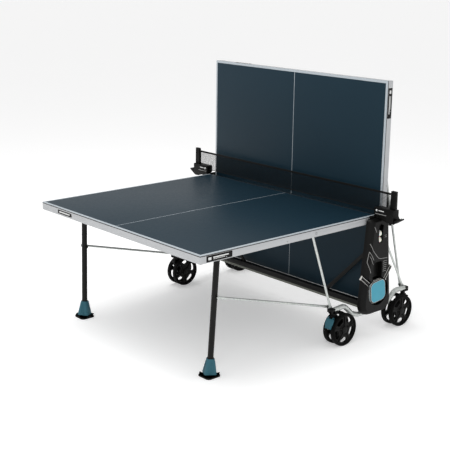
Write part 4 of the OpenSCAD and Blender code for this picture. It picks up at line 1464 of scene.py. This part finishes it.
# a bat lying flat at the origin: its handle along +y, its face towards +x
def batPiece(name):
    half, neck, thick = bats["blade"] / 2, bats["neck"], bats["thick"]

    def blade(inset, low, high, corner):
        reach = (half - inset) * math.sqrt(2)
        points = [(-reach, 0), (0, -reach), (reach, 0), (0, reach)]
        return plate("blade", rounded([(a, b, corner - inset) for a, b in points], steps=9), low, high)

    looks = ("edging", "batFace", "smoothBlack")
    core = softened(blade(0.0, 0.0022, thick - 0.0022, bats["corner"]), 0.0008, 2)
    parts = [dressed(core, *looks)]
    frame1 = softened(blade(0.0012, 0.0, thick, bats["corner"]), 0.0010, 3)
    ring = softened(blade(0.0062, thick - 0.0015, thick + 0.0004, bats["corner"]), 0.0003, 2)
    face = softened(blade(0.0082, thick - 0.0015, thick + 0.0009, bats["corner"]), 0.0004, 2)
    back = softened(blade(0.0075, -0.0006, 0.0015, bats["corner"]), 0.0005, 2)
    for piece, number in ((frame1, 2), (ring, 0), (face, 1), (back, 2)):
        parts.append(tinted(piece, number, *looks))
    throat = plate("throat", rounded([
        (neck - 0.012, -0.034, 0.010), (neck + 0.022, -0.0145, 0.014),
        (bats["reach"] - 0.006, -0.0140, 0.003),
        (bats["reach"] - 0.006, 0.0140, 0.003), (neck + 0.022, 0.0145, 0.014), (neck - 0.012, 0.034, 0.010),
    ]), 0.0004, thick - 0.0004)
    throat = softened(throat, 0.0028, 3)
    grip = []
    for step in range(5):
        y = neck + 0.041 + step * 0.0125
        band = block("band", (0.0001, netY + y, -0.0143), (thick - 0.0001, netY + y + 0.006, 0.0143))
        grip.append(softened(band, 0.0020, 3))
    cap = block(
        "cap", (0.0004, netY + bats["reach"] - 0.009, -0.0142),
        (thick - 0.0004, netY + bats["reach"], 0.0142),
    )
    cap = softened(cap, 0.0025, 3)
    stripes = [
        pipe(
            "stripe",
            [
                (thick - 0.0003, netY + neck + 0.017, side * 0.010),
                (thick - 0.0003, netY + bats["reach"] - 0.012, side * 0.0095),
            ],
            0.0013, 2,
        )
        for side in (-1, 1)
    ]
    for piece, number in [(throat, 2), (cap, 0)] + [(one, 2) for one in grip] + [(one, 0) for one in stripes]:
        parts.append(tinted(piece, number, *looks))
    bat = joined(name, parts)
    bat.data.transform(Matrix.Translation((0, -netY, 0)))
    return bat


flat = batPiece("bat")
for bat in ("inner", "outer"):
    spot = bats[bat]
    turn = Matrix.Translation(
        at(spot["x"], spot["y"], bats["z"] - 0.002)
    ) @ Matrix.Rotation(math.radians(spot["angle"]), 4, "X")
    piece = copied(flat, bat + "_bat_body", turn)
    fitted(piece, "bats", [bat + "_bat"])
bpy.data.objects.remove(flat)
print("balls and bats are made")

# net, posts and levers

net = {
    "top": 0.9125, "low": 0.788, "tape": 0.013, "reach": 0.887, "arm": 0.816,
    "pitch": 0.008, "thread": 0.0025, "share": 0.66,
    "postWide": 0.043, "post": 0.915, "postTop": 0.9275, "armFrom": 0.7685, "armHalf": 0.025,
    "pivot": (0.881, 0.744),
}


def netArmPiece():
    far, top = net["post"], net["arm"]
    outline = rounded([
        (net["armFrom"], top, 0.006), (far, top, 0.001), (far, 0.734, 0.016), (far - 0.047, 0.734, 0.008),
        (net["armFrom"] + 0.006, 0.766, 0.006), (net["armFrom"], 0.774, 0.004),
    ])
    arm = plate("arm", outline, -net["armHalf"], net["armHalf"], "y")
    arm = combined(arm, block("pocket", at(0.866, -0.0195, 0.724), at(0.93, 0.0195, 0.756)))
    arm = applied(arm, "BEVEL", width=0.0022, segments=3, limit_method="ANGLE", angle_limit=math.radians(50))
    smoothed(arm, 35)
    step = softened(
        block("foot", at(cover["from"], -0.0195, 0.7222), at(cover["from"] + 0.0118, 0.0195, 0.7725)), 0.003,
        3,
    )
    x, z = net["pivot"]
    pin = barrel("pin", at(x, -0.0262, z), at(x, 0.0262, z), 0.004, 24)
    parts = [arm, step, softened(pin, 0.0008, 2)]
    looks = ("black", "smoothBlack", "badgeInk", "accent")
    for piece in parts:
        dressed(piece, *looks)
    for side in (-1, 1):
        face = side * net["armHalf"]
        for corners, rise, number in (
            ((0.775, 0.785, 0.862, 0.811, 0.004), 0.0012, 1),
            ((0.783, 0.792, 0.795, 0.804, 0.002), 0.0016, 2),
            ((0.803, 0.7955, 0.845, 0.8005, 0.0015), 0.0016, 2),
            # thin grey strip under the badge: painted highlight along the edge of a groove
            ((0.778, 0.7755, 0.862, 0.7785, 0.0015), 0.0010, 3),
        ):
            low, high = sorted((face - side * 0.0008, face + side * rise))
            piece = plate("layer", rounded(oblong(*corners), steps=4), low, high, "y")
            parts.append(tinted(softened(piece, 0.0004, 2), number, *looks))
    return joined("net_arm", parts)


def netPostPiece():
    far, wide = net["post"], net["postWide"]
    outline = rounded(
        [
            (far - wide, net["arm"] - 0.002, 0), (far, net["arm"] - 0.002, 0),
            (far - 0.0012, net["postTop"] - 0.007, 0.004),
            (far - wide + 0.003, net["postTop"] - 0.007, 0.004),
        ],
        steps=4,
    )
    post = plate("post", outline, -0.0088, 0.0088, "y")
    post = combined(
        post, block("slit", at(far - wide - 0.01, -0.002, 0.80), at(far - wide + 0.016, 0.002, 0.94)),
    )
    post = applied(
        post, "BEVEL", width=0.0012, segments=2, limit_method="ANGLE", angle_limit=math.radians(50),
    )
    smoothed(post, 35)
    cap = softened(
        block(
            "cap", at(far - wide + 0.004, -0.0098, net["postTop"] - 0.009), at(far, 0.0098, net["postTop"]),
        ),
        0.0035, 4,
    )
    ridge = [
        softened(
            block(
                "ridge", at(far - 0.012, side * 0.0098 - 0.0012, net["arm"]),
                at(far - 0.004, side * 0.0098 + 0.0012, net["postTop"] - 0.014),
            ),
            0.001, 2,
        )
        for side in (-1, 1)
    ]
    return dressed(joined("net_post", [post, cap] + ridge), "black")


def netLeverPiece():
    x, z = net["pivot"]
    outline = rounded([
        (x - 0.008, z - 0.010, 0.006), (x + 0.030, z - 0.012, 0.02), (x + 0.084, z + 0.022, 0.003),
        (x + 0.080, z + 0.030, 0.003), (x + 0.024, z + 0.006, 0.02), (x - 0.008, z + 0.008, 0.006),
    ])
    paddle = plate("paddle", outline, -0.0188, 0.0188, "y")
    paddle = combined(paddle, barrel("bore", at(x, -0.03, z), at(x, 0.03, z), 0.0041, 24))
    paddle = applied(
        paddle, "BEVEL", width=0.0016, segments=3, limit_method="ANGLE", angle_limit=math.radians(40),
    )
    smoothed(paddle, 35)
    run = Vector((0.056, 0, 0.024)).normalized()
    ribs = []
    for y in (-0.010, 0.0, 0.010):
        start = at(x + 0.034, y, z + 0.0128)
        ribs.append(pipe("rib", [start, start + run * 0.040], 0.0014, 3))
    return dressed(joined("lever", [paddle] + ribs), "black")


for base, make, body, slot, cad in (
    ("net_arm_bracket", netArmPiece, "chassis", "black_plastic", "net_arm"),
    ("net_post_blade", netPostPiece, "chassis", "black_plastic", "net_post"),
    ("net_lever_paddle", netLeverPiece, "lever", "black_plastic", "net_lever"),
):
    right = make()
    left = copied(right, "left_" + base, mirrorX)
    right.name = "right_" + base
    for piece, side in ((right, "right"), (left, "left")):
        fitted(piece, f"{side}_net_lever" if body == "lever" else body, [f"{side}_{cad}"])

# tape along the top and cord along the bottom
tapeLow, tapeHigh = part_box("net_tape")
tape = softened(block("net_top_tape", tapeLow, tapeHigh), 0.0007, 2)
fitted(dressed(tape, "tape"), "chassis", ["net_tape"])
cordLow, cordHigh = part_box("net_cord")
cordZ = (cordLow.z + cordHigh.z) / 2
cord = pipe(
    "net_low_cord",
    [Vector((cordLow.x + (cordHigh.x - cordLow.x) * step / 24, netY, cordZ)) for step in range(25)], 0.0026,
    4,
)
fitted(dressed(cord, "net"), "chassis", ["net_cord"])

# the net itself: a grid of threads, cut back over the arms
bottom, top = net["low"], net["top"] - net["tape"] + 0.001
columns, rows = round(2 * net["reach"] / net["pitch"]), round((top - bottom) / net["pitch"])
deselectAll()
bpy.ops.mesh.primitive_grid_add(x_subdivisions=columns, y_subdivisions=rows, size=1)
mesh = started("net_threads")
mesh.data.transform(
    Matrix.Translation((0, netY, (bottom + top) / 2)) @ Matrix.Rotation(math.pi / 2, 4, "X")
    @ Matrix.Diagonal((2 * net["reach"], top - bottom, 1, 1))
)
edit(mesh, "FACE", lambda place, normal: abs(place.x) > halfWidth and place.z < net["arm"] + 0.002)
bpy.ops.mesh.delete(type="FACE")
leave()
mesh = applied(
    mesh, "WIREFRAME", thickness=net["thread"], use_replace=True, use_even_offset=False, use_boundary=True,
)
fitted(dressed(mesh, "net"), "chassis", ["net_mesh"])
print("net is made")
